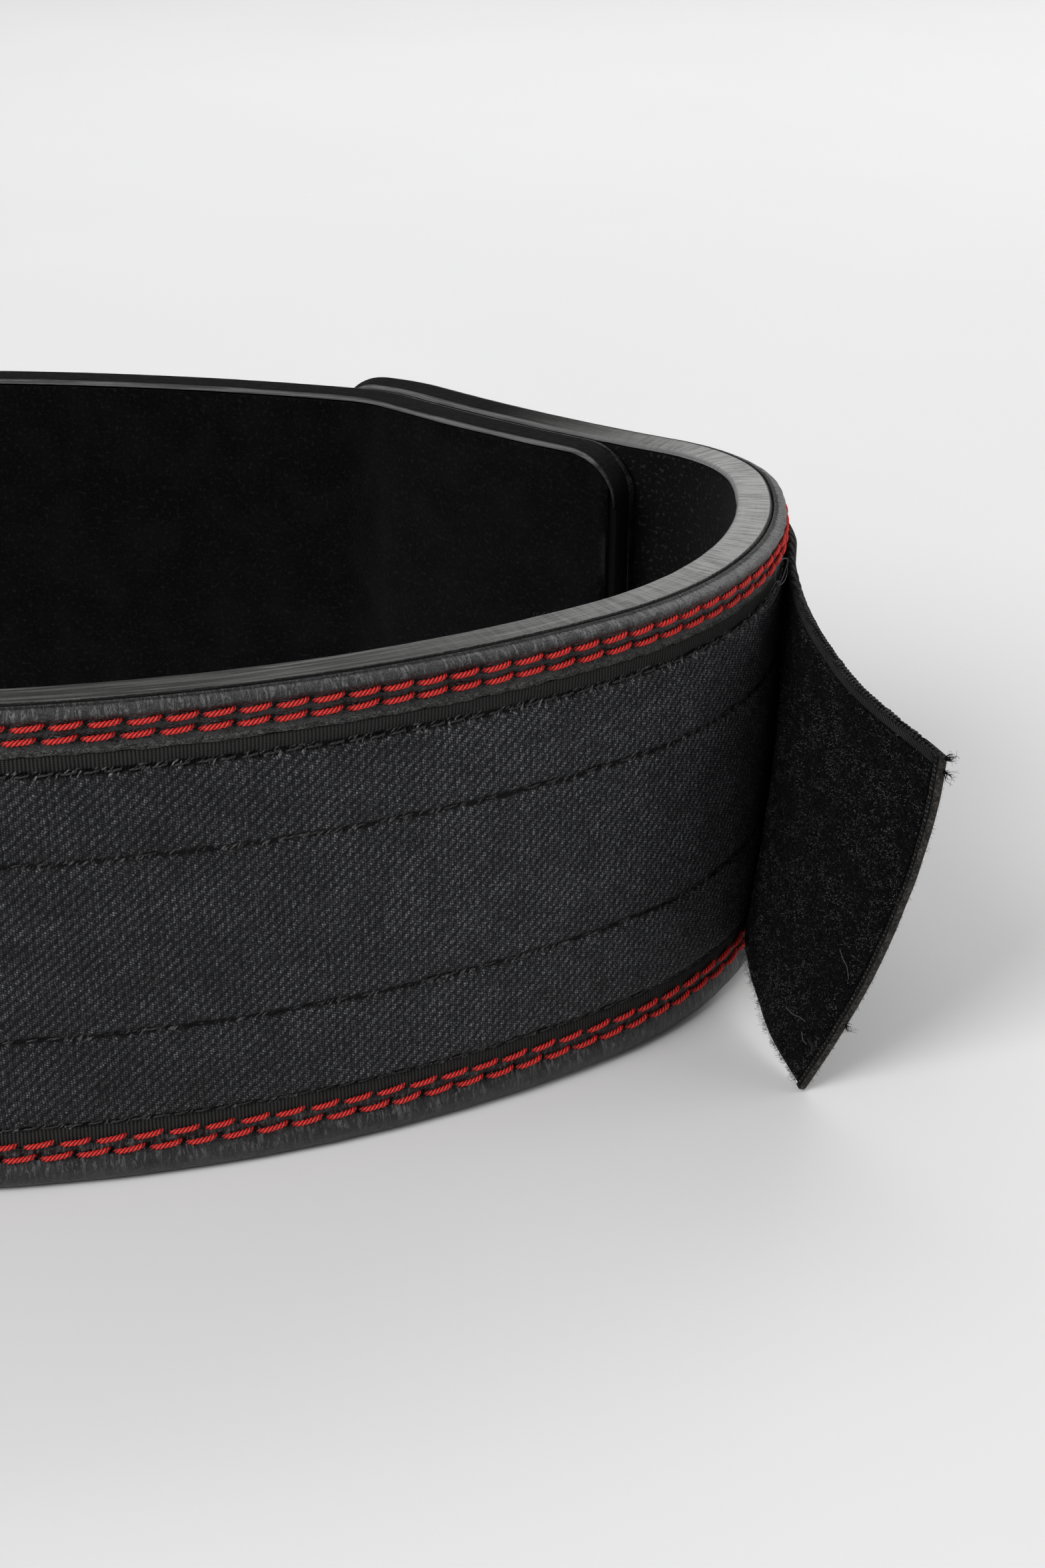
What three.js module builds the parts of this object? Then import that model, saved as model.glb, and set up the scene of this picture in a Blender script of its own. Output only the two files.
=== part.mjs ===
import * as THREE from "three";

// A leather weightlifting belt, closed into a loop and standing on its lower edge. Its outer end
// lies over its inner end on the far side, and its closing strap is peeled off at the right bend.
// Millimetres, +Z up. The near side faces -Y, and the strap's free end is at +X.

// Belt body. Its thickness runs from the loop's line to the inner face, and its foot spreads
// outward by FOOT_SPREAD.
const BELT_HEIGHT = 101.6;
const BELT_THICKNESS = 10;
const FOOT_SPREAD = 1.1;
const CORNER_RADIUS = 12;
const EDGE_RIM = 1.2;
const EDGE_BEVEL = 0.8;
const CLEARANCE = 0.3;

// The loop's line, close to the belt's outer face. The outer end lies OUTER_END_BACK to the right
// of the far middle.
const RIGHT_RUN = 486.6;
const LEFT_REACH = 178;
const LEFT_BEND = 67;
const OVERLAP = 94;
const OUTER_END_BACK = 87;

// Leather on the two faces of the body. The puffs stand out from the loop's line.
const FACING = 1.1;
const FACING_EDGE = 0.44;
const FACING_PUFF = 0.9;
const FACING_FOOT_PUFF = 1.3;
const FACING_SHOULDER = 2;
const LINING = 1.2;
const LINING_BEVEL = 0.36;

// Hook tape on the outer face. TAPE_LIFT is the height of its middle, and it ends TAPE_SHORT
// before the belt's rounded corners.
const TAPE_WIDTH = 82.8;
const TAPE_LIFT = 51.2;
const TAPE_SELVEDGE = 4;
const SELVEDGE_THICKNESS = 1;
const HOOK_THICKNESS = 1.8;
const HOOK_SLOPE = 1.6;
const HOOK_VALLEY = 0.8;
const VALLEY_BANK = 2.9;
const TAPE_PAST_FRONT = 50;
const TAPE_SHORT = 2;

// Closing strap. Past the belt's outer end it steps down by one layer, from STEP_DELAY to STEP_RUN
// beyond that end, and is sewn down from there.
const STRAP_WIDTH = 80.5;
const STRAP_LIFT = 50.8;
const STRAP_SELVEDGE = 5;
const PILE = 1.3;
const PILE_RISE = 0.6;
const BACKING = 1.3;
const FLAP_LENGTH = 96;
const FLAP_BOW = 3;
const SEWN_LENGTH = 60;
const STEP_DELAY = 0.8;
const STEP_RUN = 26;
const BINDING_WIDTH = 6;
const BINDING_WALL = 0.8;
const PRESSED_LAYER = 0.6;

// Fineness of the faceted surface.
const MAX_STEP = 16;
const MAX_TURN = 10;
const SHORT_RAMP = 0.3;
const CORNER_FACETS = 4;
const SHOULDER_FACETS = 3;
const STEP_FACETS = 6;
const FLAP_FACETS = 16;
const BINDING_FACETS = 10;

// Right half of the loop, from the middle of the near side. length is a share of RIGHT_RUN and
// turn is in degrees to the left. The last arc is as long as it takes to come back level with the
// start, so its length isn't given.
const RIGHT_ARCS = [
  { length: 0.34, turn: 37.6 },
  { length: 0.196, turn: 57.1 },
  { length: 0.08, turn: 56.4 },
  { length: 0.145, turn: -12.1 },
  { length: 0.045, turn: 27.7 },
];

// Where two rows of stitches hold the hook field down, as shares of TAPE_WIDTH from its lower edge.
const TAPE_VALLEYS = [0.291, 0.738];

// Where the strap's faces are cut along it, as shares of STRAP_WIDTH from its lower edge.
const STRAP_COLUMNS = [0, 0.3, 0.5, 0.7, 1];

// The free flap's two long edges. along is the distance on the belt's face, from where that face
// looks straight to +X, and lift the distance off the face, both as shares of FLAP_LENGTH. drop is
// how far the edge sinks, as a share of the strap's height above the floor.
const FLAP_UPPER_EDGE = [
  { along: 0.154, lift: 0.006, drop: 0 },
  { along: 0.291, lift: 0.038, drop: 0.05 },
  { along: 0.423, lift: 0.103, drop: 0.1 },
  { along: 0.507, lift: 0.187, drop: 0.33 },
  { along: 0.567, lift: 0.286, drop: 0.62 },
  { along: 0.599, lift: 0.385, drop: 0.86 },
  { along: 0.617, lift: 0.478, drop: 1.1 },
  { along: 0.624, lift: 0.553, drop: 1.38 },
];
const FLAP_LOWER_EDGE = [
  { along: 0.156, lift: 0, drop: 0 },
  { along: 0.298, lift: 0, drop: 0 },
  { along: 0.413, lift: 0.004, drop: 0.05 },
  { along: 0.522, lift: 0.055, drop: 0.19 },
  { along: 0.599, lift: 0.125, drop: 0.38 },
  { along: 0.666, lift: 0.21, drop: 0.62 },
  { along: 0.731, lift: 0.355, drop: 0.95 },
];

// Plan of the loop

function pointOnArc(arc, distance) {
  const halfTurn = (arc.turn * distance) / arc.length / 2;
  const chord = Math.abs(halfTurn) < 1e-9 ? distance : (distance * Math.sin(halfTurn)) / halfTurn;
  return {
    x: arc.x + chord * Math.cos(arc.heading + halfTurn),
    y: arc.y + chord * Math.sin(arc.heading + halfTurn),
    heading: arc.heading + 2 * halfTurn,
  };
}

function appendArc(arcs, length, turn) {
  const last = arcs.at(-1);
  const start = last ? pointOnArc(last, last.length) : { x: 0, y: 0, heading: 0 };
  arcs.push({ ...start, length, turn, begins: last ? last.begins + last.length : 0 });
}

// The left half is plain: two wide arcs and a bend, half of a four-centre oval as deep as the
// right half.
function appendLeftHalf(arcs, depth) {
  const halfDepth = depth / 2;
  const bend = LEFT_BEND;
  const across = LEFT_REACH - bend;
  const wide = (across ** 2 + halfDepth ** 2 - bend ** 2) / (2 * (halfDepth - bend));
  const wideTurn = Math.atan2(across, wide - halfDepth);
  const bendTurn = Math.PI - 2 * wideTurn;
  appendArc(arcs, wide * wideTurn, wideTurn);
  appendArc(arcs, bend * bendTurn, bendTurn);
  appendArc(arcs, wide * wideTurn, wideTurn);
}

function makeLoop() {
  const arcs = [];
  for (const { length, turn } of RIGHT_ARCS) {
    appendArc(arcs, length * RIGHT_RUN, THREE.MathUtils.degToRad(turn));
  }
  const end = pointOnArc(arcs.at(-1), arcs.at(-1).length);
  const turnLeft = Math.PI - end.heading;
  appendArc(arcs, (end.x * turnLeft) / Math.sin(turnLeft), turnLeft);
  const farMiddle = arcs.at(-1).begins + arcs.at(-1).length;
  appendLeftHalf(arcs, pointOnArc(arcs.at(-1), arcs.at(-1).length).y);
  const girth = arcs.at(-1).begins + arcs.at(-1).length;
  return { arcs, farMiddle, girth };
}

const loop = makeLoop();

// Distances round the loop. The belt runs to the left from its inner end to its outer end, once
// round and over the overlap.
const OUTER_LAP = loop.farMiddle - OUTER_END_BACK;
const BELT_START = OUTER_LAP - OVERLAP;
const BELT_END = OUTER_LAP + loop.girth;
const TAPE_START = loop.girth - TAPE_PAST_FRONT;
const TAPE_END = BELT_END - CORNER_RADIUS - TAPE_SHORT;
const STEP_START = OUTER_LAP + STEP_DELAY;
const STEP_END = OUTER_LAP + STEP_RUN;
const STRAP_START = STEP_END + SEWN_LENGTH;

// Distances outward from the loop's line.
const TAPE_BACK = -CLEARANCE;
const CHANNEL_FLOOR = TAPE_BACK - CLEARANCE;
const FACING_BACK = CHANNEL_FLOOR - FACING;
const HOOK_FACE = TAPE_BACK + HOOK_THICKNESS;
const GRIP_FACE = Math.max(HOOK_FACE, FACING_PUFF) + CLEARANCE;
const LAYER_INSET = BELT_THICKNESS + Math.max(FACING_PUFF, FACING_FOOT_PUFF) + CLEARANCE;
const SEWN_FACE = FACING_PUFF + CLEARANCE - LAYER_INSET;

// The lining starts this far inside the belt's edge.
const LINING_MARGIN = EDGE_RIM + SHORT_RAMP + CLEARANCE;

// Heights above the floor.
const TAPE_LOW = TAPE_LIFT - TAPE_WIDTH / 2;
const TAPE_HIGH = TAPE_LIFT + TAPE_WIDTH / 2;
const STRAP_LOW = STRAP_LIFT - STRAP_WIDTH / 2;
const STRAP_HIGH = STRAP_LIFT + STRAP_WIDTH / 2;

function loopAt(distance) {
  const wrapped = THREE.MathUtils.euclideanModulo(distance, loop.girth);
  const arc = loop.arcs.findLast((candidate) => candidate.begins <= wrapped);
  const { x, y, heading } = pointOnArc(arc, wrapped - arc.begins);
  return { x, y, outward: { x: Math.sin(heading), y: -Math.cos(heading) } };
}

// A point at a height, a distance outward from the loop's line. The wall spreads a little towards
// its foot.
function offLoop(distance, outward, height) {
  const base = loopAt(distance);
  const out = outward + FOOT_SPREAD * (1 - height / BELT_HEIGHT);
  return new THREE.Vector3(base.x + base.outward.x * out, base.y + base.outward.y * out, height);
}

// How far the belt lies inside the loop's line: a whole layer where its outer end covers it, then
// easing out round the left bend.
function layerInset(distance) {
  return LAYER_INSET * (1 - THREE.MathUtils.smoothstep(distance, loop.farMiddle, loop.girth));
}

// Where the belt's right face looks straight to +X, which is where the flap starts.
function findFlapRoot() {
  const arc = loop.arcs.find((candidate) => candidate.heading + candidate.turn >= Math.PI / 2);
  return arc.begins + (arc.length * (Math.PI / 2 - arc.heading)) / arc.turn;
}

const FLAP_ROOT = findFlapRoot();

// Stations: every layer is faceted at the same places, so that they nest without touching

function steps(from, to, count) {
  return Array.from({ length: count + 1 }, (_, i) => from + ((to - from) * i) / count);
}

function arcStations(arc) {
  const turnSteps = THREE.MathUtils.radToDeg(Math.abs(arc.turn)) / MAX_TURN;
  const count = Math.ceil(Math.max(turnSteps, arc.length / MAX_STEP));
  return steps(arc.begins, arc.begins + arc.length, count).slice(0, -1);
}

function cornerStations() {
  return steps(0, Math.PI / 2, CORNER_FACETS).map((angle) => CORNER_RADIUS * (1 - Math.cos(angle)));
}

function makeStations() {
  const endMarks = [...cornerStations(), EDGE_RIM, EDGE_RIM + SHORT_RAMP, LINING_MARGIN];
  const channelMarks = [-CLEARANCE, -CLEARANCE - SHORT_RAMP, 0];
  const fixed = [
    ...endMarks.flatMap((mark) => [BELT_START + mark, BELT_END - mark]),
    ...channelMarks.flatMap((mark) => [TAPE_START + mark, TAPE_END - mark]),
    ...steps(STEP_START, STEP_END, STEP_FACETS),
    FLAP_ROOT,
    STRAP_START,
  ].map((mark) => THREE.MathUtils.euclideanModulo(mark, loop.girth));
  const clear = 2;
  const regular = loop.arcs
    .flatMap(arcStations)
    .filter((mark) => fixed.every((other) => Math.abs(other - mark) > clear));
  const once = [...fixed, ...regular];
  const twice = [...once, ...once.map((mark) => mark + loop.girth)];
  const sorted = twice.sort((a, b) => a - b);
  return sorted.filter((mark, i) => i === 0 || mark - sorted[i - 1] > 1e-3);
}

const stations = makeStations();

function stationsBetween(from, to) {
  const inside = stations.filter((mark) => mark > from + 1e-3 && mark < to - 1e-3);
  return [from, ...inside, to];
}

// Solids

// A closed solid through sections. A section has an outline of two chains, which run side by side,
// and the outline's points in space. The outer chain has the solid on its left, and the inner one
// on its right, as seen along the way.
function loft(sections) {
  const size = sections[0].points.length;
  const outerSize = sections[0].outline.outer.length;
  const position = sections.flatMap(({ points }) => points.flatMap((point) => point.toArray()));
  const index = [];
  for (let section = 0; section + 1 < sections.length; section++) {
    for (let corner = 0; corner < size; corner++) {
      const here = section * size + corner;
      const next = section * size + ((corner + 1) % size);
      // The two chains run opposite ways round the ring, and this cuts their faces alike, so that
      // twisted layers nest.
      if (corner < outerSize) {
        index.push(here, here + size, next, next, here + size, next + size);
      } else {
        index.push(here, here + size, next + size, here, next + size, next);
      }
    }
  }
  const lastSection = (sections.length - 1) * size;
  for (const [a, b, c] of capTriangles(sections[0].outline)) {
    index.push(a, b, c);
  }
  for (const [a, b, c] of capTriangles(sections.at(-1).outline)) {
    index.push(lastSection + a, lastSection + c, lastSection + b);
  }
  const geometry = new THREE.BufferGeometry();
  geometry.setAttribute("position", new THREE.Float32BufferAttribute(position, 3));
  geometry.setIndex(index);
  geometry.computeVertexNormals();
  return geometry;
}

function section({ outer, inner }, toSpace) {
  const ring = [...outer, ...inner.toReversed()];
  return { outline: { outer, inner }, points: ring.map(toSpace) };
}

// How far along its chain each point lies, from 0 to 1.
function chainShares(chain) {
  const runs = [0];
  for (let i = 1; i < chain.length; i++) {
    runs.push(runs[i - 1] + Math.hypot(chain[i][0] - chain[i - 1][0], chain[i][1] - chain[i - 1][1]));
  }
  return runs.map((run) => run / runs.at(-1));
}

// Triangles between the two chains, which go on together from the first points to the last.
function capTriangles({ outer, inner }) {
  const outerShares = chainShares(outer);
  const innerShares = chainShares(inner);
  const innerIndex = (j) => outer.length + inner.length - 1 - j;
  const triangles = [];
  let i = 0;
  let j = 0;
  while (i + 1 < outer.length || j + 1 < inner.length) {
    const outerNext = outerShares[i + 1] ?? Infinity;
    const innerNext = innerShares[j + 1] ?? Infinity;
    if (outerNext <= innerNext) {
      triangles.push([i, i + 1, innerIndex(j)]);
      i += 1;
    } else {
      triangles.push([i, innerIndex(j + 1), innerIndex(j)]);
      j += 1;
    }
  }
  return triangles;
}

// A strip along the belt from one distance to another. profile gives the outline there, as
// [outward, height] pairs.
function beltStrip(from, to, profile) {
  const sections = stationsBetween(from, to).map((distance) => {
    const inset = layerInset(distance);
    return section(profile(distance), ([out, height]) => offLoop(distance, out - inset, height));
  });
  return loft(sections);
}

// Heights of the belt's lower and upper edge, which round off towards its two ends.
function edgeHeights(distance) {
  const fromEnd = Math.min(distance - BELT_START, BELT_END - distance);
  const short = Math.max(0, CORNER_RADIUS - fromEnd);
  const cut = CORNER_RADIUS - Math.sqrt(Math.max(0, CORNER_RADIUS ** 2 - short ** 2));
  return { fromEnd, low: cut, high: BELT_HEIGHT - cut };
}

function ramp(value, from) {
  return THREE.MathUtils.clamp((value - from) / SHORT_RAMP, 0, 1);
}

// The body: its painted edge ends in a crease at the facing and overhangs the lining by a rim.
function coreProfile(distance) {
  const { fromEnd, low, high } = edgeHeights(distance);
  const outerFace = FACING_BACK - CLEARANCE;
  const soft = EDGE_BEVEL / 2;
  const recess = (LINING + CLEARANCE) * ramp(fromEnd, EDGE_RIM);
  const innerEdge = (edge, up) => [
    [EDGE_BEVEL - BELT_THICKNESS, edge],
    [-BELT_THICKNESS, edge + up * EDGE_BEVEL],
    [-BELT_THICKNESS, edge + up * EDGE_RIM],
    [recess - BELT_THICKNESS, edge + up * (EDGE_RIM + SHORT_RAMP)],
  ];
  return {
    outer: [
      [outerFace - soft, low],
      [outerFace, low + soft],
      [outerFace, high - soft],
      [outerFace - soft, high],
    ],
    inner: [...innerEdge(low, 1), ...innerEdge(high, -1).reverse()],
  };
}

// The facing: two puffed strips, which round over towards the body's edge, with a channel between
// them along the hook tape.
function facingProfile(distance) {
  const { low, high } = edgeHeights(distance);
  const pastTape = Math.max(TAPE_START - distance, distance - TAPE_END);
  const floor = THREE.MathUtils.lerp(CHANNEL_FLOOR, FACING_PUFF, ramp(pastTape, CLEARANCE));
  const edgeFace = FACING_BACK + FACING_EDGE;
  const strip = (edge, up, height, puff) => [
    ...steps(0, Math.PI / 2, SHOULDER_FACETS).map((angle) => [
      THREE.MathUtils.lerp(edgeFace, puff, Math.sin(angle)),
      edge + up * FACING_SHOULDER * (1 - Math.cos(angle)),
    ]),
    [FACING_PUFF, edge + up * (height - SHORT_RAMP)],
    [floor, edge + up * height],
  ];
  const bottom = low + CLEARANCE;
  const top = high - CLEARANCE;
  const lower = strip(bottom, 1, TAPE_LOW - 2 * CLEARANCE, FACING_FOOT_PUFF);
  const upper = strip(top, -1, BELT_HEIGHT - TAPE_HIGH - 2 * CLEARANCE, FACING_PUFF);
  return {
    outer: [...lower, ...upper.reverse()],
    inner: [[FACING_BACK, bottom], [FACING_BACK, top]],
  };
}

function liningProfile(distance) {
  const { low, high } = edgeHeights(distance);
  const bottom = low + LINING_MARGIN;
  const top = high - LINING_MARGIN;
  const back = LINING - BELT_THICKNESS;
  return {
    outer: [[back, bottom], [back, top]],
    inner: [
      [LINING_BEVEL - BELT_THICKNESS, bottom],
      [-BELT_THICKNESS, bottom + LINING_BEVEL],
      [-BELT_THICKNESS, top - LINING_BEVEL],
      [LINING_BEVEL - BELT_THICKNESS, top],
    ],
  };
}

// The hook tape: thin woven selvedges, and a hook field with two valleys where rows of stitches
// hold it down.
function tapeProfile() {
  const selvedgeFace = TAPE_BACK + SELVEDGE_THICKNESS;
  const edge = [
    [selvedgeFace, 0],
    [selvedgeFace, TAPE_SELVEDGE],
    [HOOK_FACE, TAPE_SELVEDGE + HOOK_SLOPE],
  ];
  const valleys = TAPE_VALLEYS.map((share) => share * TAPE_WIDTH).flatMap((middle) => [
    [HOOK_FACE, middle - VALLEY_BANK],
    [HOOK_FACE - HOOK_VALLEY, middle],
    [HOOK_FACE, middle + VALLEY_BANK],
  ]);
  const upperEdge = edge.map(([out, up]) => [out, TAPE_WIDTH - up]).reverse();
  return {
    outer: [...edge, ...valleys, ...upperEdge].map(([out, up]) => [out, TAPE_LOW + up]),
    inner: [[TAPE_BACK, TAPE_LOW], [TAPE_BACK, TAPE_HIGH]],
  };
}

// Closing strap

// Off the belt's face from the flap's root to the sewn end: on the hook tape, then down beyond the
// belt's outer end to the layer under it.
function strapFace(distance) {
  const down = THREE.MathUtils.smoothstep(distance, STEP_START, STEP_END);
  return THREE.MathUtils.lerp(GRIP_FACE, SEWN_FACE, down);
}

function flapEdge(rows, height) {
  const leadIn = 12;
  const onBelt = [leadIn, leadIn / 2, 0].map((back) => offLoop(FLAP_ROOT + back, GRIP_FACE, height));
  const room = STRAP_LOW - CLEARANCE;
  const free = rows.map(({ along, lift, drop }) =>
    offLoop(FLAP_ROOT - along * FLAP_LENGTH, GRIP_FACE + lift * FLAP_LENGTH, height - drop * room),
  );
  const curve = new THREE.CatmullRomCurve3([...onBelt, ...free], false, "centripetal");
  return { curve, root: leadIn / curve.getLength() };
}

const lowerEdge = flapEdge(FLAP_LOWER_EDGE, STRAP_LOW);
const upperEdge = flapEdge(FLAP_UPPER_EDGE, STRAP_HIGH);

// The strap's two long edges on its gripping face, at a distance from the flap's root towards its
// free end. A negative distance lies on the belt.
function strapEdges(reach) {
  if (reach < 0) {
    const distance = FLAP_ROOT - reach;
    const face = strapFace(distance);
    return [offLoop(distance, face, STRAP_LOW), offLoop(distance, face, STRAP_HIGH)];
  }
  return [lowerEdge, upperEdge].map(({ curve, root }) =>
    curve.getPointAt(Math.min(1, root + ((1 - root) * reach) / FLAP_LENGTH)),
  );
}

// A point of the strap: across is the share of its width from the lower edge, depth the distance
// outward from its gripping face. The free flap bows outward between its long edges.
function strapPoint(reach, across, depth) {
  const nearby = 0.5;
  const [low, high] = strapEdges(reach);
  const middle = (at) => new THREE.Vector3().addVectors(...strapEdges(at)).divideScalar(2);
  const way = middle(reach - nearby).sub(middle(Math.min(reach + nearby, FLAP_LENGTH)));
  const outward = way.cross(high.clone().sub(low)).normalize();
  const free = THREE.MathUtils.smoothstep(reach, FLAP_LENGTH / 3, FLAP_LENGTH);
  const bow = FLAP_BOW * free * 4 * across * (1 - across);
  return low.lerp(high, across).addScaledVector(outward, depth + bow);
}

// Both layers of the strap are pressed thinner inside the binding at the free end.
const LAYERS = PILE + CLEARANCE + BACKING;
const PRESSED = 2 * PRESSED_LAYER + CLEARANCE;
const PRESSED_FACE = (LAYERS - PRESSED) / 2;
const BINDING_START = FLAP_LENGTH - BINDING_WIDTH;
const PRESSING_START = BINDING_START - 2 * CLEARANCE - SHORT_RAMP;
const LAYERS_END = FLAP_LENGTH - BINDING_WALL - CLEARANCE;

function strapStations() {
  const free = steps(0, PRESSING_START, FLAP_FACETS);
  const pressed = [PRESSING_START + SHORT_RAMP, LAYERS_END];
  const onBelt = stationsBetween(FLAP_ROOT, STRAP_START).map((mark) => FLAP_ROOT - mark);
  return [...pressed.reverse(), ...free.reverse(), ...onBelt.slice(1)];
}

// A layer of the strap between two faces, given as [across, depth, pressed depth] rows.
function strapLayer(back, face) {
  const sections = strapStations().map((reach) => {
    const pressed = ramp(reach, PRESSING_START);
    const chain = (rows) =>
      rows.map(([across, depth, thin]) => [
        THREE.MathUtils.lerp(depth, thin, pressed),
        across * STRAP_WIDTH,
      ]);
    const outline = { outer: chain(back), inner: chain(face) };
    return section(outline, ([depth, width]) => strapPoint(reach, width / STRAP_WIDTH, depth));
  });
  return loft(sections);
}

function strapLoopTape() {
  const edge = STRAP_SELVEDGE / STRAP_WIDTH;
  const slope = (STRAP_SELVEDGE + PILE_RISE) / STRAP_WIDTH;
  const back = STRAP_COLUMNS.map((across) => [across, PILE, PRESSED_FACE + PRESSED_LAYER]);
  const face = [
    [0, PILE_RISE, PRESSED_FACE],
    [edge, PILE_RISE, PRESSED_FACE],
    [slope, 0, PRESSED_FACE],
    ...STRAP_COLUMNS.slice(1, -1).map((across) => [across, 0, PRESSED_FACE]),
    [1 - slope, 0, PRESSED_FACE],
    [1 - edge, PILE_RISE, PRESSED_FACE],
    [1, PILE_RISE, PRESSED_FACE],
  ];
  return strapLayer(back, face);
}

function strapBacking() {
  const pressedFace = PRESSED_FACE + PRESSED_LAYER + CLEARANCE;
  const back = STRAP_COLUMNS.map((across) => [across, LAYERS, pressedFace + PRESSED_LAYER]);
  const face = STRAP_COLUMNS.map((across) => [across, PILE + CLEARANCE, pressedFace]);
  return strapLayer(back, face);
}

// The binding: a tape folded round the strap's free end, open towards the strap. Its outline holds
// [depth, reach] pairs.
function strapBinding() {
  const inside = PRESSED_FACE - CLEARANCE;
  const outside = LAYERS - inside;
  const floor = FLAP_LENGTH - BINDING_WALL;
  const outline = {
    outer: [
      [outside + BINDING_WALL, BINDING_START],
      [outside + BINDING_WALL, floor],
      [outside, FLAP_LENGTH],
      [inside, FLAP_LENGTH],
      [inside - BINDING_WALL, floor],
      [inside - BINDING_WALL, BINDING_START],
    ],
    inner: [
      [outside, BINDING_START],
      [outside, floor],
      [inside, floor],
      [inside, BINDING_START],
    ],
  };
  const sections = steps(0, 1, BINDING_FACETS).map((across) =>
    section(outline, ([depth, reach]) => strapPoint(reach, across, depth)),
  );
  return loft(sections);
}

// Assembly

function sheet(name, geometry, color, roughness) {
  const material = new THREE.MeshStandardMaterial({ color, roughness, flatShading: true });
  const mesh = new THREE.Mesh(geometry, material);
  mesh.name = name;
  return mesh;
}

function makeBelt() {
  const facing = beltStrip(BELT_START + CLEARANCE, BELT_END - CLEARANCE, facingProfile);
  const lining = beltStrip(BELT_START + LINING_MARGIN, BELT_END - LINING_MARGIN, liningProfile);
  const belt = new THREE.Group();
  belt.add(
    sheet("belt_core", beltStrip(BELT_START, BELT_END, coreProfile), 0x4a4b4e, 0.4),
    sheet("leather_facing", facing, 0x1c1c1e, 0.5),
    sheet("suede_lining", lining, 0x202123, 0.95),
    sheet("hook_tape", beltStrip(TAPE_START, TAPE_END, tapeProfile), 0x2b2c30, 0.7),
    sheet("strap_backing", strapBacking(), 0x17171a, 0.8),
    sheet("strap_loop_tape", strapLoopTape(), 0x141416, 0.95),
    sheet("strap_end_binding", strapBinding(), 0x1e1e21, 0.7),
  );
  return belt;
}

// The origin is on the floor under the middle of the whole belt.
function standOnFloor(belt) {
  const box = new THREE.Box3().setFromObject(belt);
  const middle = box.getCenter(new THREE.Vector3());
  belt.position.set(-middle.x, -middle.y, -box.min.z);
  return belt;
}

export default standOnFloor(makeBelt());
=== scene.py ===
"""A leather weightlifting belt with its closing strap peeled off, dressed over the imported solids."""

import math

import bpy
import numpy as np
from mathutils import Matrix


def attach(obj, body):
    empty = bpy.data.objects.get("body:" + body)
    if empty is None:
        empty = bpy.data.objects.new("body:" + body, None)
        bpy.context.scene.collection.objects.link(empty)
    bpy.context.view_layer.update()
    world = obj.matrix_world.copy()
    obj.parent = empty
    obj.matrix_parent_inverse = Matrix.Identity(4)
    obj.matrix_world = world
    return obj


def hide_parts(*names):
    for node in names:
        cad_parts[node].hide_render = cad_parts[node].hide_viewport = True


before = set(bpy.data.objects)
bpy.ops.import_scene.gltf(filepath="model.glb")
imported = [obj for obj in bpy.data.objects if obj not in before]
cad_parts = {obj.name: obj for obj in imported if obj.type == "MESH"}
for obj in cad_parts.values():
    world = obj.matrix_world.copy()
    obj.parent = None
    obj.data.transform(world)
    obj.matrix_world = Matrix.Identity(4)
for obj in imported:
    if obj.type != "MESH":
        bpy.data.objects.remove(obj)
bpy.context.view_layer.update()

# Sizes in millimetres, as in the solids. Meshes are turned into metres when they are made.

HEIGHT = 101.6
THICKNESS = 10.0
FOOT_SPREAD = 1.1
CORNER = 12.0
RIGHT_RUN, LEFT_REACH, LEFT_BEND = 486.6, 178.0, 67.0
ARCS = ((0.34, 37.6), (0.196, 57.1), (0.08, 56.4), (0.145, -12.1), (0.045, 27.7))
ORIGIN = np.array([-22.555, -111.287])
FACING_BACK, CREASE_FACE = -1.7, -2.0
TAPE_LOW, TAPE_HIGH, TAPE_WIDTH = 9.8, 92.6, 82.8
TAPE_VALLEYS = (0.291, 0.738)
# Stitch rows. Red: height, distance of the first stitch's start from the near middle, and pitch.
RED_ROWS = ((98.0, 43.7, 6.82), (95.4, 42.0, 6.98), (7.6, 35.2, 7.0), (10.4, 39.0, 6.98))
# Black stitch rows: height and pitch. The two in the middle lie in the tape's valleys.
BLACK_ROWS = ((14.2, 4.1), *((TAPE_LOW + share * TAPE_WIDTH, 4.6) for share in TAPE_VALLEYS), (88.6, 4.1))
HOOK_FACE, SELVEDGE_FACE = 1.5, 0.7
GRIP_FACE, SEWN_FACE, LAYER_INSET = 1.8, -10.4, 11.6
STRAP_LOW, STRAP_HIGH, STRAP_WIDTH = 10.55, 91.05, 80.5
FLAP_LENGTH, FLAP_BOW = 96.0, 3.0


# The loop's line, in plan

def arc_point(arc, distance):
    half = arc["turn"] * distance / arc["length"] / 2
    chord = np.where(np.abs(half) < 1e-9, distance, distance * np.sinc(half / np.pi))
    heading = arc["heading"] + half
    return arc["x"] + chord * np.cos(heading), arc["y"] + chord * np.sin(heading), heading + half


def add_arc(arcs, length, turn):
    x, y, heading, begins = 0.0, 0.0, 0.0, 0.0
    if arcs:
        x, y, heading = (float(v) for v in arc_point(arcs[-1], arcs[-1]["length"]))
        begins = arcs[-1]["begins"] + arcs[-1]["length"]
    arcs.append(dict(x=x, y=y, heading=heading, length=length, turn=turn, begins=begins))


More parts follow.
